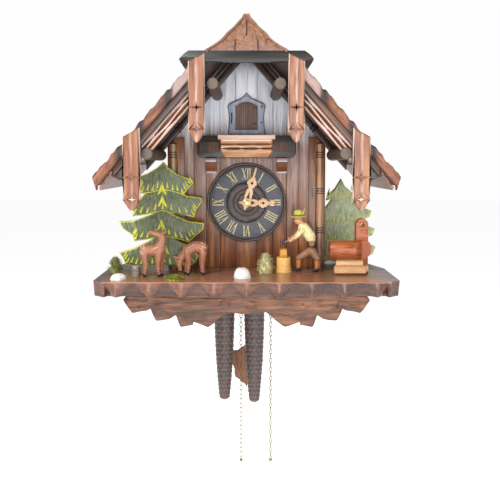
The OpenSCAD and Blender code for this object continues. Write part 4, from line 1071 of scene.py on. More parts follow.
maple = wood("hand_wood",
    tones((196, 146, 104), (226, 184, 146), (240, 208, 176)), gloss=(0.4, 0.6), relief=0.05,
             dark=rgb(150, 98, 62))
fretted_hand("fretted_minute_hand", "minute", "minute_hand", 15.7, 37, 21.6, 1.5,
             span("minute_hand")[0].y)
serrated = [(1.1, 23.6), (1.2, 24.2), (3.0, 24.2), (2.7, 24.9), (3.1, 25.4), (2.7, 26.0),
            (3.1, 26.6), (2.7, 27.2), (2.9, 28.1), (0, 28.5)]
fretted_hand("fretted_hour_hand", "hour", "hour_hand", 91.3, 28.5, 18, 2.8,
             span("hour_hand")[0].y, serrated)

brass = metal("brass", rgb(206, 166, 92), 0.28)
nut_back = span("hand_nut")[1].y
nut = Carving()
nut.turned([(1.5, 0), (3.9, 0), (3.9, 0.5), (2.9, 0.9), (2.7, 2.1), (2.2, 2.4), (0, 2.4)],
           (0, nut_back, dial_centre.z), (0, -1, 0), 36)
for k in range(4):
    turn = math.pi / 2 * k
    spot = Vector((3.2 * math.cos(turn), 0, 3.2 * math.sin(turn)))
    nut.turned([(0, 0), (0.6, 0), (0.45, 0.9), (0, 1)],
               (spot.x, nut_back - 0.4, dial_centre.z + spot.z), (0, -1, 0), 10)
nut.settle("hand_nut_cap", "minute", "brass", metal("nut_brass", rgb(226, 200, 146), 0.25),
           ["hand_nut"])


# ---- Carved platform ----
# A thick board carries the house. Its front edge is chip-carved with facets that run down to
# a row of points, and it has slots behind for the chains and the pendulum.
platform = Carving()
top_z, foot_z = -180, -194
half_path = [(0, -172), (130.5, -172), (140, -163), (140.5, -96), (124.5, -46), (80, 0)]
levels = [1, 0.96, 0.88, 0.74, 0.58, 0.42, 0.26, 0.12, 0.04, 0]


def chip_depth(x, v):
    """How far the carving cuts into the front edge: v is 1 at the top and 0 at the foot."""
    away = abs((x + 14.75) % 29.5 - 14.75)
    wide = 1.6 + 11.4 * v
    if v > 0.95:
        return 0.5 * (v - 0.95) / 0.05
    if away < wide:
        return 0.4 + 2.8 * away / wide * (1 - 0.5 * v)
    return 2.6 + 4.4 * min(1, (away - wide) / 3) * (1 - v) ** 0.5


def platform_rim():
    """Points round the platform, each with the direction that points inwards."""
    path = half_path + [(-x, y) for x, y in reversed(half_path[1:])]
    rim = []
    for k, (start, end) in enumerate(zip(path, path[1:] + path[:1])):
        line = Vector((end[0] - start[0], end[1] - start[1]))
        count = max(1, int(line.length / 1.25)) if start[1] < -90 and end[1] < -90 else 8
        inward = Vector((-line.y, line.x)).normalized()
        rim += [(Vector(start) + line * i / count, inward, start[1] < -90 and end[1] < -90)
                for i in range(count)]
    return rim


rim = platform_rim()
rings = []
for v in levels:
    ring = []
    for spot, inward, carved in rim:
        depth = chip_depth(spot.x, v) if carved and abs(spot.x) < 127 else 0.4 + 1.6 * (v < 0.1)
        if carved and abs(spot.x) >= 127:
            depth = 0.5 + 1.8 * abs(math.sin(spot.y * 0.12)) * (1 - v)
        point = spot + inward * depth
        ring.append(platform.bm.verts.new((point.x, point.y, foot_z + (top_z - foot_z) * v)))
    rings.append(ring)
slots = []
for x0, x1, y0, y1 in ((-29, 32, -62, -48), (-14, 14, -34, -12)):
    corners = [(x0, y0), (x1, y0), (x1, y1), (x0, y1)]
    slots.append([[platform.bm.verts.new((x, y, z)) for x, y in corners]
                  for z in (top_z, foot_z)])
for pair in list(zip(rings, rings[1:])) + slots:
    for k, vert in enumerate(pair[0]):
        after = (k + 1) % len(pair[0])
        platform.bm.faces.new((vert, pair[0][after], pair[1][after], pair[1][k]))
for loops in ([rings[0]] + [slot[0] for slot in slots], [rings[-1]] + [slot[1] for slot in slots]):
    edges = [platform.bm.edges.get(pair) for loop in loops
             for pair in zip(loop, loop[1:] + loop[:1])]
    bmesh.ops.triangle_fill(platform.bm, use_beauty=True, edges=edges)
# Painted shade darkens the chip cuts with their depth, and a painted highlight lightens the front edge and
# the uncut faces.
platform.shade(platform.grain((1, 0, 0)),
               burn=lambda p: min(0.5, 0.14 * max(0, p.y + 170.6)) * (p.y < -164) * (-193.4 < p.z < -181),
               pale=lambda p: 0.55 * (p.y < -170.9) * (p.z > -181.2) + 0.3 * (p.y < -171.3))
platform.settle("carved_platform", "case", "platform_wood", wood(
    "platform_wood", tones((42, 22, 14), (84, 46, 29), (134, 82, 58)),
    coat=0.4, gloss=(0.2, 0.36), relief=0.06, figure=0.09, light=rgb(178, 122, 92),
    dark=rgb(44, 18, 8)),
    ["base_platform"], sharp=14)


# ---- Apron ----
# Three bark-like slabs hang under the front edge one behind the other. Their grain lies flat,
# and their faces and feet are cut with curling gouge strokes.
apron = Carving()


def apron_foot(x, half, inner, foot, middle):
    """Height of the lower edge of a slab at |x|."""
    knots = [(0, middle), (inner / 2, middle + 2), (inner, foot), (inner + 14, foot + 5),
             (half - 20, foot + 2), (half - 8, foot), (half + 2, -200.4)]
    for (x0, z0), (x1, z1) in zip(knots, knots[1:]):
        if x <= x1:
            share = (x - x0) / (x1 - x0)
            return z0 + (z1 - z0) * (0.6 * share + 0.4 * (3 * share ** 2 - 2 * share ** 3))
    return -200.4


for i, half, inner, foot, middle in ((0, 113, 70, -212, -211), (1, 92, 52, -221, -214),
                                     (2, 70, 36, -228, -216)):
    def slab_face(u, v, i=i, half=half, inner=inner, foot=foot, middle=middle):
        x = (2 * u - 1) * (half + 1.6)
        low = apron_foot(abs(x), half, inner, foot, middle)
        wave = 0.7 * noise.noise(Vector((x * 0.1, i * 7, 0)))
        z = -194.1 + (low + 1 + wave + 194.1) * (1 - v)
        bark = noise.noise(Vector((x * 0.05, z * 0.42, i * 5))) + 0.5 * noise.noise(
            Vector((x * 0.12, z * 1.1, i * 9)))
        curl = 0.0
        for spot in (-90, -24, 3, 47, 92):
            reach = math.hypot(x - spot - 4 * math.sin(spot), (z + 203 + 2 * i) * 1.1)
            turned = math.sin(math.atan2(z + 203, x - spot) + spot) > -0.1
            curl = max(curl, (1.8 - abs(reach - 4.6) * 1.2) * turned)
        front = -160 + 5 * i
        edge = 1.4 * max(0, 1 - v / 0.1) + 1.2 * max(0, (abs(x) - half + 4) / 4)
        pull = max(0, (abs(x) - half + 6) / 6) * (3.4 * max(0, (z + 200.4) / 6.3))
        x -= math.copysign(pull, x)
        return Vector((x, front + 1.1 + 0.9 * bark + max(0, curl) * 0.5 + edge, z))

    made = apron.relief(190, 22, slab_face, lambda p, i=i: Vector((p.x, -155 + 5 * i, p.z)),
                        along=(1, 0, 0), shift=i * 37)
    # Painted shade darkens the slabs with the depth of their gouges, over random changes in tone.
    apron.shade(made, burn=lambda p, i=i: 0.9 * (p.y + 160 - 5 * i - 1.9) * (p.y < -156.2 + 5 * i)
                + 0.25 * noise.noise(p * 0.06),
                pale=lambda p: 0.9 * noise.noise(Vector((p.x * 0.03, 3, p.z * 0.2))) - 0.1)
apron.settle("bark_apron", "case", "apron_wood", wood(
    "apron_wood", [(0.32, rgb(44, 27, 19)), (0.5, rgb(96, 58, 36)), (0.68, rgb(146, 94, 60))],
    gloss=(0.4, 0.6), coat=0.2, relief=0.3, figure=0.16, light=rgb(160, 104, 68),
    dark=rgb(44, 34, 32), split=0.5), ["apron_boards"], sharp=40)


# ---- Painted fir trees ----
# Each fir is one board, fretted into four tiers and painted dark green. The rim of every
# tier is brushed yellow, with streaks that run down its boughs.


# Each tier: its outline from the apex round by the right, then where its yellow notch stands
tiers_near = [
    ([(-83, -71.8), (-79, -76.6), (-69, -84), (-53, -90), (-53.4, -94), (-58, -98.6), (-63, -105),
      (-73, -102), (-84, -99.6), (-94, -102.6), (-105, -104), (-107, -97), (-107.4, -86.6),
      (-98, -83), (-88.6, -77.4)], (-84, -100)),
    ([(-84, -92), (-72, -99), (-60, -105.4), (-44.6, -107.6), (-44.4, -112), (-50, -119.6),
      (-52, -127), (-66, -124.6), (-84, -121), (-100, -124.6), (-114, -126.4), (-113, -120),
      (-106, -108), (-97, -99)], (-84, -112)),
    ([(-84, -118), (-72, -125), (-58, -131), (-42.4, -133), (-43.4, -140), (-52, -146.6),
      (-58, -152.4), (-70, -149), (-84, -146), (-100, -149.6), (-112.6, -151.4), (-114, -145.6),
      (-124, -139), (-127.6, -131.4), (-114, -131), (-98, -125.4)], (-85, -136)),
    ([(-84, -142), (-70, -150), (-56, -158), (-48, -166), (-52, -174), (-62, -177.4),
      (-76, -176), (-88, -175), (-102, -178.6), (-112, -176.6), (-121.6, -175.6), (-124, -169),
      (-128, -163), (-114, -159), (-98, -151)], (-82, -160))]
tiers_far = [
    ([(100.3, -89.5), (104, -97), (112, -104), (120, -108.6), (113, -113), (106, -110.6),
      (98, -113.6), (90, -111), (85, -112.6), (86, -107.6), (94, -100)], None),
    ([(100, -103), (110, -112), (122, -119), (133, -123.6), (131, -130), (123, -133.6),
      (118.6, -139), (108, -135.4), (97, -138), (88, -135.6), (81.6, -138), (81.2, -124),
      (90, -112)], None),
    ([(100, -122), (112, -131), (126, -139), (137, -142.6), (134, -150), (127, -152.6),
      (123, -158), (110, -154.6), (98, -158), (88, -155), (81.6, -158), (81.4, -140),
      (90, -130)], None),
    ([(100, -142), (114, -151), (128, -158), (138, -162), (135, -170), (128, -174), (124, -179.6),
      (110, -176), (98, -179.4), (88, -176.6), (81.6, -179.8), (81.4, -158), (90, -150)], None)]
firs = Carving()
firs.rim = firs.bm.verts.layers.float.new("rim")
for tiers, back, front, tone in ((tiers_near, -97, -105, 0.0), (tiers_far, -57, -65, 1.0)):
    for k, (loop, notch) in enumerate(tiers):
        face_y = front + 0.3 + 0.5 * k
        made = firs.board(loop[::-1], face_y, back - 0.2 * k, bevel=1.5, steps=2, shift=k * 4)
        middle = sum(p[0] for p in loop) / len(loop)
        strokes = [(made, 0.12)]
        # Brushed streaks that climb from the scalloped foot, and a notch in the middle
        feet = [p for p in loop if p[1] < min(q[1] for q in loop) + 12]
        for x, z in feet + [((p[0] + q[0]) / 2, (p[1] + q[1]) / 2 + 1) for p, q in zip(feet, feet[1:])]:
            lean = (x - middle) * 0.13
            tuft = [(x - 1.1 - lean * 0.2, z + 2.2), (x + 1.1 - lean * 0.2, z + 2.2),
                    (x - lean + 0.25, z + 7.6), (x - lean - 0.25, z + 8.4)]
            strokes.append((firs.board(tuft, face_y - 0.25, face_y + 0.3, bevel=0.12, steps=1), 0))
        if notch:
            x, z = notch
            arrow = [(x - 5, z - 5), (x - 2.6, z - 3.6), (x, z - 0.6), (x + 2.6, z - 3.6),
                     (x + 5, z - 5), (x + 1.4, z + 4), (x, z + 7), (x - 1.4, z + 4)]
            strokes.append((firs.board(arrow, face_y - 0.28, face_y + 0.3, bevel=0.15, steps=1), 0))
        for verts, margin in strokes:
            for v in verts:
                v[firs.rim] = float(margin < v.co.y - face_y < 2) if margin else 1.0
                v[firs.burn] = tone


def leaf_paint():
    """Brushed green, with yellow on the rims; the far tree is greyer."""
    made = Finish("fir_paint", coat_weight=0.1)
    spot = made.place()
    brush = made.noise(made.stretched(spot, (1, 1, 0.22)), 0.8, 4.0, 0.8)
    green = made.ramp(brush, tones((62, 76, 52), (98, 106, 78), (136, 140, 104)))
    grey = made.ramp(brush, tones((104, 116, 86), (146, 154, 122), (188, 192, 156)))
    bright = made.ramp(brush, [(0.3, rgb(160, 164, 44)), (0.6, rgb(222, 218, 52))])
    olive = made.ramp(brush, [(0.3, rgb(126, 128, 64)), (0.6, rgb(190, 188, 96))])
    far = made.layer("burn")
    body = made.mix(far, green, grey)
    rim = made.mix(far, bright, olive)
    made.put("Base Color", made.mix((made.layer("rim") + brush * 0.6).between(0.55, 1.0), body, rim))
    made.put("Roughness", brush.between(0.3, 0.7, 0.45, 0.65))
    made.bump(brush, 0.12)
    return made


firs.settle("painted_firs", "case", "fir_paint", leaf_paint(), ["fir_trees"])


# ---- Deer ----
# Two whittled deer are glued to the platform: one stands with its head up and the other
# grazes. They are stained brown, with white rumps, dark eyes and dark hooves.


def patch_paint(name, colours, rough=0.5):
    """Paint that changes where the mesh attribute 'coat' passes each whole number."""
    made = Finish(name, coat_weight=0.15)
    spot = made.place()
    brush = made.noise(spot, 0.7, 4.0, 0.4)
    which = made.layer("coat")
    colour = colours[0]
    for k, shade in enumerate(colours[1:]):
        colour = made.mix((which - k).between(0.45, 0.55), colour, shade)
    darker = made.mix(0.45, colour, rgb(52, 30, 20))
    made.put("Base Color", made.mix(brush.between(0.35, 0.62), darker, colour))
    made.put("Roughness", brush.between(0.3, 0.7, rough, rough + 0.15))
    made.bump(brush, 0.1)
    return made


def paint_by(carving, rule):
    """Stores the number of the colour that rule picks for each point."""
    layer = carving.bm.verts.layers.float.new("coat")
    for v in carving.bm.verts:
        v[layer] = rule(v.co)


def near(p, spot, reach):
    return (p - Vector(spot)).length < reach


herd = Carving()
for legs, top in ((((-97.4, -137), (-95.6, -142.5), (-80.4, -137), (-82.6, -142.5)), 22),
                  (((-59, -127), (-56, -132.5), (-43, -127), (-41.6, -132.5)), 21)):
    for n, (x, y) in enumerate(legs):
        bend = 1.1 if n < 2 else -0.7
        herd.limb((x, y, -178.6, 1.8), (x, y, -176.6, 1.6), (x + bend, y, -169.5, 2.1),
                  (x - bend * 0.4, y * 0.985 - 2.1, -180 + top, 3.9))
herd.limb((-95.4, -140, -155.2, 5.7), (-88, -140, -155.6, 5.4), (-82, -140, -154.4, 5.8))
herd.limb((-81.4, -140, -152, 5.2), (-79.2, -140, -145, 3.9), (-79.6, -140, -141.6, 3.7))
herd.limb((-80.4, -140, -141, 3.9), (-85.6, -140.6, -139.6, 3), (-90.6, -141, -137.9, 2))
for y in (-143.4, -136.6):
    herd.limb((-79.4, y, -139.4, 1.3), (-76.4, y - 0.2, -137.6, 1.4), (-74.8, y, -136.6, 0.6))
herd.limb((-56, -130, -156.4, 5.4), (-49, -130, -153.4, 5.8), (-43, -130, -154, 6))
herd.limb((-57, -130, -157.4, 4.9), (-61.6, -130, -162.4, 3.9), (-64, -130, -165.6, 3.6))
herd.limb((-64, -130, -166.4, 3.7), (-64.6, -130.6, -171, 2.8), (-63.6, -131, -175.4, 1.9))
for y in (-133.4, -126.6):
    herd.limb((-65.4, y, -164, 1.3), (-68.2, y, -163, 1.4), (-69.6, y, -162, 0.6))
herd.fuse(0.42, 3)


def deer_coat(p):
    if p.z < -177.2 or near(p, (-92.4, -141.4, -137.2), 1.3) or near(p, (-63.2, -131.4, -177), 1.2):
        return 2
    if near(p, (-84, -143.5, -139.6), 0.8) or near(p, (-63.6, -133.6, -169.4), 0.8):
        return 2
    spots = [(-99, -152.4), (-97.2, -154.6), (-99.4, -156), (-96.6, -151.2), (-97.6, -157.6),
             (-40, -150.8), (-42.4, -149.6), (-39.6, -153.6), (-41.8, -152.4), (-42.6, -155)]
    return 1 if p.y < -132 and any(math.hypot(p.x - x, p.z - z) < 0.62 for x, z in spots) else 0


paint_by(herd, deer_coat)
herd.settle("whittled_deer", "case", "deer_paint", patch_paint(
    "deer_paint", [rgb(172, 114, 84), rgb(226, 206, 188), rgb(34, 26, 24)], 0.35),
    ["deer"], sharp=60)


# ---- Woodcutter ----
# A carved man in breeches and a hat leans over a block. The legs stay put and the upper body,
# pegged at the waist, rocks back with the axe. The face is a plain, calm one.
legs = Carving()
for x, y, hip_x, hip_y in ((51.5, -110.8, 61.5, -112), (69, -115.5, 65.5, -114)):
    legs.limb((x + 1.2, y, -178, 2), (x - 2.6, y - 0.2, -178.2, 1.7))
    legs.limb((x + 0.4, y, -177, 2.1), (x + 0.2, y, -171.5, 2.5), (x + 0.4, y, -167.6, 2.6))
    legs.limb((x + 0.6, y, -167, 3.3), (hip_x, hip_y, -160.6, 4))
legs.limb((63, -113, -160, 4.1), (65, -113, -160, 4.1))
legs.fuse(0.42, 2)
paint_by(legs, lambda p: 2 if p.z < -176.3 else 1 if p.z < -169 else 0)
cutter_paint = patch_paint("cutter_paint", [rgb(152, 108, 80), rgb(196, 122, 58), rgb(42, 32, 30)])
legs.settle("woodcutter_legs", "case", "cutter_paint", cutter_paint, ["chopper_legs"], 60)

torso = Carving()
torso.turned([(0, 0), (3, 0), (3, 8), (0, 8)], (64, -109, -152), (0, -1, 0), 20)
torso.limb((64, -113, -150, 4.2), (62.5, -113, -145, 5.6), (56.4, -113, -137.4, 5.9))
torso.limb((55.4, -113, -134.6, 3), (51.6, -113, -130.6, 2.6))
torso.limb((51, -113, -129.6, 4), (50.4, -113, -127, 3.7))
torso.limb((46.9, -113, -129.6, 0.8), (47.3, -113, -128.9, 0.7))
for y, hand_y, hand_z in ((-118, -117, -149), (-108, -112, -148)):
    torso.limb((54.6, y, -138.6, 2.5), (49.4, (y + hand_y) / 2, -144.6, 2.1),
               (43, hand_y, hand_z, 1.6), (42.3, (hand_y - 115) / 2, hand_z + 0.3, 1.7))
torso.fuse(0.42, 2)


def cutter_coat(p):
    if p.x < 47.6 and p.z < -141.5 or p.z > -133.2 and p.x < 54.4:
        eye = near(p, (47.4, -114.9, -128.6), 0.62) or near(p, (47.4, -111.1, -128.6), 0.62)
        return 2 if eye else 1
    return 3 if p.z < -149.6 else 0


paint_by(torso, cutter_coat)
torso.settle("woodcutter_body", "woodcutter", "cutter_paint", patch_paint(
    "shirt_paint", [rgb(240, 222, 166), rgb(222, 164, 118), rgb(60, 40, 32), rgb(140, 96, 68)]),
    ["chopper_upper"], 60)
hat = Carving()
hat.turned([(0, -0.2), (7.6, -0.4), (8, 0.2), (7.5, 0.6), (4.7, 0.9), (4.6, 3), (4.1, 5.6),
            (2.8, 6.6), (0, 6.8)], (51.2, -113, -125.6), (-0.06, 0, 1), 40)
hat.shade(hat.turned([(4.72, 0.8), (4.9, 0.8), (4.85, 2.1), (4.6, 2.1)], (51.2, -113, -125.6),
                     (-0.06, 0, 1), 40), burn=lambda p: 1)
hat.limb((54.8, -115.6, -123.4, 0.8), (56.4, -115.8, -120, 0.7), (57, -115.8, -117.4, 0.25))
hat_felt = Finish("hat_felt", roughness=0.85)
felt_spot = hat_felt.place()
fuzz = hat_felt.noise(felt_spot, 2.2, 4.0)
felt = hat_felt.ramp(fuzz, [(0.3, rgb(140, 144, 60)), (0.65, rgb(196, 196, 96))])
hat_felt.put("Base Color", hat_felt.mix(hat_felt.layer("burn"), felt, rgb(158, 44, 34)))
hat_felt.bump(fuzz, 0.15)
hat.settle("woodcutter_hat", "woodcutter", "cutter_paint", hat_felt)
axe = Carving()
axe.limb((46, -115, -146.4, 0.75), (42, -115, -148.6, 0.8), (36.6, -115, -151.6, 0.85))
blade = [(37.6, -154.4), (38.2, -151), (37.4, -147.2), (35.6, -148.2), (34.4, -150.6), (35.4, -153.6)]
made = axe.board(blade, -116, -114, bevel=0.5, steps=2)
axe.shade(made, burn=lambda p: 1)
axe.settle("woodcutter_axe", "woodcutter", "cutter_paint", wood(
    "axe_wood", [(0.3, rgb(120, 80, 50)), (0.6, rgb(170, 124, 84))], dark=rgb(40, 34, 36)))


# ---- Chopping block, fountain and firewood ----
# The block flares at its foot and holds a yellow piece of log. Behind stands a log trough on
# a stack of split sticks, with a drilled post for its spout.
def end_rings(name, sawn, side, bark):
    """Timber with a pale sawn face (burn 1 on the mesh), a stained side, and bark under it."""
    made = Finish(name, coat_weight=0.25, coat_roughness=0.3)
    spot = made.place()
    streak = made.noise(made.stretched(spot, (0.12, 1, 1)), 0.8, 4.0, 0.5)
    fleck = made.noise(spot, 1.3, 4.0)
    body = made.ramp(streak, [(0.3, bark), (0.5, side), (0.75, sawn)])
    face = made.ramp(fleck * 0.6 + streak * 0.4, [(0.3, side), (0.6, sawn)])
    made.put("Base Color", made.mix(made.layer("burn"), body, face))
    made.put("Roughness", fleck.between(0.3, 0.7, 0.35, 0.55))
    made.bump(streak, 0.25)
    return made


timber = Carving()
timber.shade(timber.turned([(0, 0), (8.3, 0), (8.2, 1), (7.6, 3.4), (7, 6), (6.9, 13.6),
                            (6.5, 14.4), (0, 14.5)], (36.5, -114, -180), steps=24),
             burn=lambda p: 1.0 if p.z > -166.4 else 0.65)
timber.settle("chopping_block", "case", "light_wood", end_rings(
    "block_wood", rgb(232, 186, 104), rgb(214, 156, 76), rgb(158, 98, 44)))
log_piece = Carving()
log_piece.board([(32.7, -165.4), (40.1, -165.4), (39.6, -157.6), (36.5, -157.3), (33, -157.8)],
                -117.8, -111.2, bevel=0.8)
log_piece.settle("split_log", "case", "light_wood", end_rings(
    "split_log", rgb(226, 164, 60), rgb(206, 140, 38), rgb(150, 92, 30)))
fountain = Carving()
body = fountain.turned([(0, 0), (8.6, 0), (8.9, 0.6), (8.9, 30), (8.9, 38), (0, 38)],
                       (80, -127, -156.5), (1, 0, 0), 36, along=(1, 0, 0))
for v in body:
    if v.co.x > 112:
        v.co.x = 113.4 + v.co.y + 127
fountain.shade(body, burn=lambda p: float(abs(p.x - 113.4 - p.y - 127) < 0.1))
post = arc((112.6, -133), 6, 0, 180, 12) + [(106.6, -180), (118.6, -180)]
fountain.board(post, -121, -112, holes=[arc((112.6, -133), 2, 360, 24, 14)], bevel=0.6)
fountain.settle("log_fountain", "case", "light_wood", end_rings(
    "fountain_wood", rgb(190, 96, 60), rgb(160, 84, 34), rgb(96, 46, 18)))
sticks = Carving()
for x, y, z, length, r in ((84, -132, -175.9, 30, 4), (86, -123.4, -175.9, 32, 4),
                           (86, -127.8, -169.6, 26, 3.5)):
    stick = sticks.turned([(0, 0), (r * 0.94, 0), (r, 0.6), (r, length - 0.6),
                           (r * 0.94, length), (0, length)], (x, y, z), (1, 0, 0), 6)
    sticks.shade(stick, burn=lambda p, middle=x + length / 2, reach=length / 2 - 0.7:
                 float(abs(p.x - middle) > reach))
sticks.settle("firewood", "case", "light_wood", end_rings(
    "firewood", rgb(222, 178, 128), rgb(178, 122, 74), rgb(92, 60, 40)), ["wood_pile"])


# ---- Stones, moss, bush and grass ----
# Painted pebbles, a ball of dried moss, a wispy bush, a tuft of grass and a cut stump are
# glued among the figures.
def dome(reach, height, angles):
    """Turning profile of a round heap that stands on the platform."""
    curve = [(reach * math.cos(math.radians(a)), height * math.sin(math.radians(a)))
             for a in angles]
    return [(0, 0), (reach, 0)] + curve + [(0, height)]


stones = Carving()
for x, y, reach, height in ((-4, -147, 9.0, 10.6), (-118, -156, 7.8, 6)):
    made = stones.turned(dome(reach, height, range(8, 90, 9)), (x, y, -180), steps=30)
    for v in made:
        lump = 0.93 + 0.14 * noise.noise(v.co * 0.13) - 0.04 * (v.co.x > x + 3)
        v.co = Vector((x + (v.co.x - x) * lump, y + (v.co.y - y) * lump,
                       -180 + (v.co.z + 180) * lump))
stones.settle("white_stones", "case", "stone", bone("stone",
    tones((196, 190, 180), (232, 228, 220), (246, 244, 240)), 0.6),
    sharp=60)
stump = Carving()
made = stump.turned([(0, 0), (4.6, 0), (4.3, 3), (4, 8.4), (3.6, 9), (0, 9)],
                    (-105.5, -134, -180), steps=14)
stump.shade(made, burn=lambda p: float(p.z > -171.4))
stump.settle("cut_stump", "case", "stone", end_rings(
    "stump_wood", rgb(178, 170, 154), rgb(128, 120, 108), rgb(74, 68, 60)))


def strands(carving, spot, reach, height, count, length, lean):
    """Blades of moss or grass that stand out of a mound."""
    for n in range(count):
        turn, up = random.uniform(0, 2 * math.pi), random.uniform(0.02, 1.5)
        out = Vector((math.cos(turn) * math.cos(up), math.sin(turn) * math.cos(up), math.sin(up)))
        root = Vector(spot) + Vector((out.x * reach, out.y * reach, out.z * height))
        side = out.cross(Vector((0, 0, 1))).normalized() * 0.55
        bend = Vector((random.uniform(-1, 1), random.uniform(-1, 1), random.uniform(-0.2, 1))) * lean
        middle = root + out * length * 0.5 + bend * 0.4
        tip = root + out * length * 0.75 + bend
        low = Vector((0, 0, 0.05))
        points = [root - side, root + side, middle + side * 0.7, tip, middle - side * 0.7]
        for p in points:
            p.z = max(p.z, -179.9)
        top = [carving.bm.verts.new(p + low) for p in points]
        foot = [carving.bm.verts.new(p - low) for p in points]
        carving.bm.faces.new(top)
        carving.bm.faces.new(foot[::-1])
        for k in range(5):
            carving.bm.faces.new((top[k], foot[k], foot[(k + 1) % 5], top[(k + 1) % 5]))
    carving.grain()


def mound(carving, x, y, reach, height):
    carving.turned(dome(reach, height, range(10, 90, 10)), (x, y, -180), steps=20)


def plant(name, slot, shades, x, y, reach, height, count, length, lean, stands_for=()):
    tuft = Carving()
    mound(tuft, x, y, reach * 0.72, height * 0.78)
    strands(tuft, (x, y, -179.6), reach * 0.66, height * 0.72, count, length, lean)
    tuft.settle(name, "case", slot, bone(name, shades, 0.7), stands_for)


plant("moss_ball", "moss",
    tones((150, 142, 96), (206, 198, 146), (232, 226, 184)), 18.5, -119.5, 8.6, 21, 420, 4.2, 1.6)
plant("wispy_bush", "moss",
    tones((84, 88, 52), (140, 142, 84), (190, 188, 116)), -128, -120, 7.4, 16, 320, 4.6, 1.6)
plant("grass_tuft", "moss",
    tones((76, 92, 34), (136, 146, 50), (206, 196, 66)), -66, -158, 10.4, 2.4, 190, 2.6, 1.2,
      ["ground_trim"])


# ---- Pine-cone weights ----
# Two hollow iron cones, cast with rows of overlapping scales and painted brown, hang from the
# chains by a wire hook.
def cone_weight(name, body, node):
    low, high = span(node)
    x, y = (low.x + high.x) / 2, (low.y + high.y) / 2
    top, foot, rows = -205, low.z + 0.2, 26
    cone = Carving()
    steps, levels = 72, rows * 5

    def skin(u, v):
        share = 1 - v
        radius = 11.3 - 1.4 * share - 4.6 * share ** 2.6
        row = share * rows
        shift = 0.5 * (int(row) % 2)
        petal = abs(((u * 12 + shift) % 1) - 0.5) * 2
        lip = (row % 1) + 0.24 * (1 - petal ** 2)
        lip = min(1.0, max(0.0, lip))
        radius += 0.85 * lip * (1 - 0.35 * petal) - 0.3
        radius *= min(1, (v + 0.012) / 0.03) ** 0.5 if v < 0.03 else 1
        radius *= min(1, (1 - v) / 0.02 + 0.35)
        turn = 2 * math.pi * u
        return Vector((x + radius * math.cos(turn), y + radius * math.sin(turn),
                       foot + (top - foot) * v))

    grid = bmesh.ops.create_grid(cone.bm, x_segments=steps, y_segments=levels, size=0.5)["verts"]
    for v in grid:
        v.co = skin(v.co.x + 0.5, v.co.y + 0.5)
    bmesh.ops.remove_doubles(cone.bm, verts=cone.bm.verts, dist=0.002)
    open_edges = [edge for edge in cone.bm.edges if edge.is_boundary]
    bmesh.ops.holes_fill(cone.bm, edges=open_edges, sides=0)
    cone.grain()
    cone.turned([(0, 0), (3.4, 0), (3, 1.6), (1.2, 2.4), (0, 2.4)], (x, y, top - 0.2), steps=20)
    cone.limb((x, y, top + 1.6, 0.8), (x, y, -196.5, 0.8), (x + 1.4, y, -194.6, 0.8),
              (x, y, -193.4, 0.8), (x - 1.2, y, -194.4, 0.7))
    cone.settle(name, body, "cone_iron", cone_paint, [node])


cone_paint = Finish("cone_iron", coat_weight=0.25, coat_roughness=0.35)
cone_spot = cone_paint.place()
scales = cone_paint.noise(cone_paint.stretched(cone_spot, (1, 1, 1.6)), 0.5, 4.0, 0.4)
# Painted highlight on the ridges of the scales.
scale_edge_highlight = cone_paint.node("ShaderNodeNewGeometry", out="Pointiness").between(0.5, 0.56)
rust = cone_paint.ramp(scales, [(0.3, rgb(38, 32, 32)), (0.55, rgb(66, 54, 52)),
                                (0.7, rgb(96, 74, 68))])
cone_paint.put("Base Color", cone_paint.mix(scale_edge_highlight * 0.7, rust, rgb(150, 108, 98)))
cone_paint.put("Roughness", scales.between(0.3, 0.7, 0.38, 0.58))
cone_paint.bump(scales, 0.1)
cone_weight("left_pine_cone", "left_weight", "weight_left")
cone_weight("right_pine_cone", "right_weight", "weight_right")


# ---- Chains ----
# Light brass chain, its oval links turned a quarter round one after another. The weights hang
# from one side of each sprocket, and the bare chain on the other side pulls them up.
def chain(name, body, node):
    low, high = span(node)
    x, y = (low.x + high.x) / 2, (low.y + high.y) / 2
    pitch, wire_r = 5.0, 0.45
    strand = Carving()
    height, flip = high.z - 3.5, 0
    while height > low.z + 3.4:
        oval = [(1.32 * math.cos(math.radians(a)), 2.95 * math.sin(math.radians(a)))
                for a in range(0, 360, 45)]
        ring = []
        for a, b in oval:
            out = Vector((a, 0, b)).normalized()
            cross = [out * wire_r * math.cos(t) + Vector((0, wire_r * math.sin(t), 0))
                     for t in (0, math.pi / 2, math.pi, math.pi * 1.5)]
            made = [Vector((a, 0, b)) + c for c in cross]
            if flip:
                made = [Vector((-p.y, p.x, p.z)) for p in made]
            ring.append([strand.bm.verts.new((x + p.x, y + p.y, height + p.z)) for p in made])
        for k in range(8):
            for j in range(4):
                strand.bm.faces.new((ring[k][j], ring[k][(j + 1) % 4],
                                     ring[(k + 1) % 8][(j + 1) % 4], ring[(k + 1) % 8][j]))
        height -= pitch
        flip = 1 - flip
    if "free" in node:
        for v in bmesh.ops.create_uvsphere(strand.bm, u_segments=12, v_segments=8,
                                           radius=1.7)["verts"]:
            v.co += Vector((x, y, low.z + 1.75))
    strand.grain()
    strand.settle(name, body, "chain_brass", old_brass, [node], 70)


old_brass = metal("chain_brass", rgb(176, 158, 104), 0.4, 0.4)
chain("left_weight_chain", "left_weight", "weight_chain_left")
chain("right_weight_chain", "right_weight", "weight_chain_right")
chain("left_free_chain", "left_free", "free_chain_left")
chain("right_free_chain", "right_free", "free_chain_right")


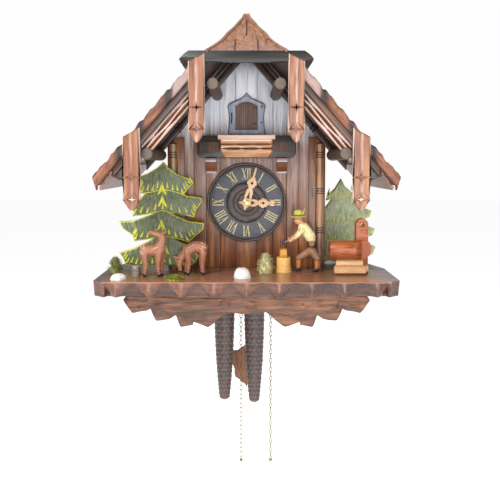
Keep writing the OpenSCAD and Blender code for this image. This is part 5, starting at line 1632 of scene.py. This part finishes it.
# ---- Pendulum ----
# A brass wire hooks over the verge and carries a carved maple leaf, which slides on the wire
# to set the rate.
leaf_low, leaf_high = span("pendulum_leaf")
leaf = Carving()
leaf_z = (leaf_low.z + leaf_high.z) / 2 - 0.2
half_leaf = [(0, 26.4), (3, 22.6), (7.6, 19.6), (10, 17.6), (16.4, 17), (17.4, 12), (19.4, 5.2),
             (15.6, 0), (13.8, -4), (14, -9), (12.8, -13.8), (8, -16.6), (5, -20), (1.6, -22),
             (0, -26)]
outline = half_leaf + [(-x, z) for x, z in reversed(half_leaf[1:-1])]
outline = [(x, leaf_z + z) for x, z in outline][::-1]
made = leaf.board(outline, leaf_low.y + 0.3, leaf_high.y, bevel=0.7)
for tip_x, tip_z in ((0, -23), (12, -11), (-12, -11), (16, 9), (-16, 9), (0, 22)):
    leaf.limb((0, leaf_low.y + 0.62, leaf_z + (4 if tip_z > -20 else 0), 0.55),
              (tip_x * 0.86, leaf_low.y + 0.5, leaf_z + tip_z * 0.86, 0.28))
leaf.settle("carved_leaf", "pendulum", "leaf_wood", wood(
    "leaf_wood", tones((84, 46, 26), (132, 80, 48), (168, 112, 74)),
    coat=0.3), ["pendulum_leaf"])


# ---- Cuckoo ----
# The bird sits on a wire perch behind the door and rides out on it. It is whittled in one
# piece, painted brown with a pale breast and a yellow beak.
bird = Carving()
bird.limb((0, -71, -25.2, 4.4), (0, -68, -24.4, 3.6), (0, -63.6, -22.8, 2))
bird.limb((0, -72.6, -22, 3.5), (0, -74.4, -18.5, 3.1))
bird.limb((0, -76.8, -18.4, 1.2), (0, -79.6, -18.5, 0.5))
for side in (-1, 1):
    bird.limb((side * 3.4, -71.4, -24.4, 1.7), (side * 3.2, -67, -23.6, 1.3), (side * 1.8, -62.6, -22, 0.6))
bird.limb((1.5, -71, -36, 0.8), (1, -71, -28, 0.8))
bird.fuse(0.36, 2)
paint_by(bird, lambda p: 3 if near(p, (2.2, -76.4, -17.6), 0.7) or near(p, (-2.2, -76.4, -17.6), 0.7)
         else 2 if p.y < -77 or p.z < -30.4 else 1 if p.y < -73 and p.z < -21 else 0)
bird.settle("painted_cuckoo", "cuckoo", "bird_paint", patch_paint(
    "bird_paint", [rgb(104, 78, 60), rgb(214, 198, 170), rgb(214, 160, 52), rgb(24, 20, 18)]),
    ["bird"], 60)
perch = Carving()
perch.turned([(0, 0), (1, 0), (1.1, 0.4), (1.1, 63.4), (1, 64), (0, 64)], (1.5, -11, -36), (0, -1, 0), 12)
perch.settle("perch_wire", "cuckoo", "steel", metal("perch_steel", rgb(150, 148, 146), 0.35))


# ---- Movement and sound ----
# Two brass plates carry the going train and the strike train, with lantern and cut pinions on
# steel arbors. The coiled gong, the wooden whistles and their cloth bellows stand beside them.
steel = metal("steel", rgb(176, 176, 178), 0.3)
for node in ("movement_frame", "great_wheel", "strike_wheel", "chain_wheel_left",
             "chain_wheel_right", "centre_wheel", "third_wheel", "escape_wheel", "pin_wheel",
             "fly", "minute_wheel", "hour_wheel", "pendulum_rod"):
    dress(node, brass)
for node in ("anchor", "strike_hammer", "hanger_plate", "fixing_screws"):
    dress(node, steel)
dress("gong", metal("gong_steel", rgb(96, 98, 110), 0.35))
whistle_wood = wood("whistle_wood",
    tones((176, 134, 88), (208, 170, 122), (228, 196, 150)), UPRIGHT, figure=0.2)
for node in ("whistles", "bellows_lid_left", "bellows_lid_right"):
    dress(node, whistle_wood)
cloth = Finish("bellows_cloth", roughness=0.85)
cloth_spot = cloth.place()
folds = cloth.node("ShaderNodeTexWave", {"bands_direction": "Z"},
                   {"Vector": cloth_spot, "Scale": 0.08, "Distortion": 0.3})
weave = cloth.noise(cloth_spot, 2.5, 2.0)
# The pleats are banded light and dark in colour: painted light and shade of the folds.
cloth.put("Base Color", cloth.ramp(folds * 0.7 + weave * 0.3, [
    (0.2, rgb(112, 100, 84)), (0.7, rgb(206, 196, 176))]))
cloth.bump(folds, 0.6)
dress("bellows_folds", cloth)
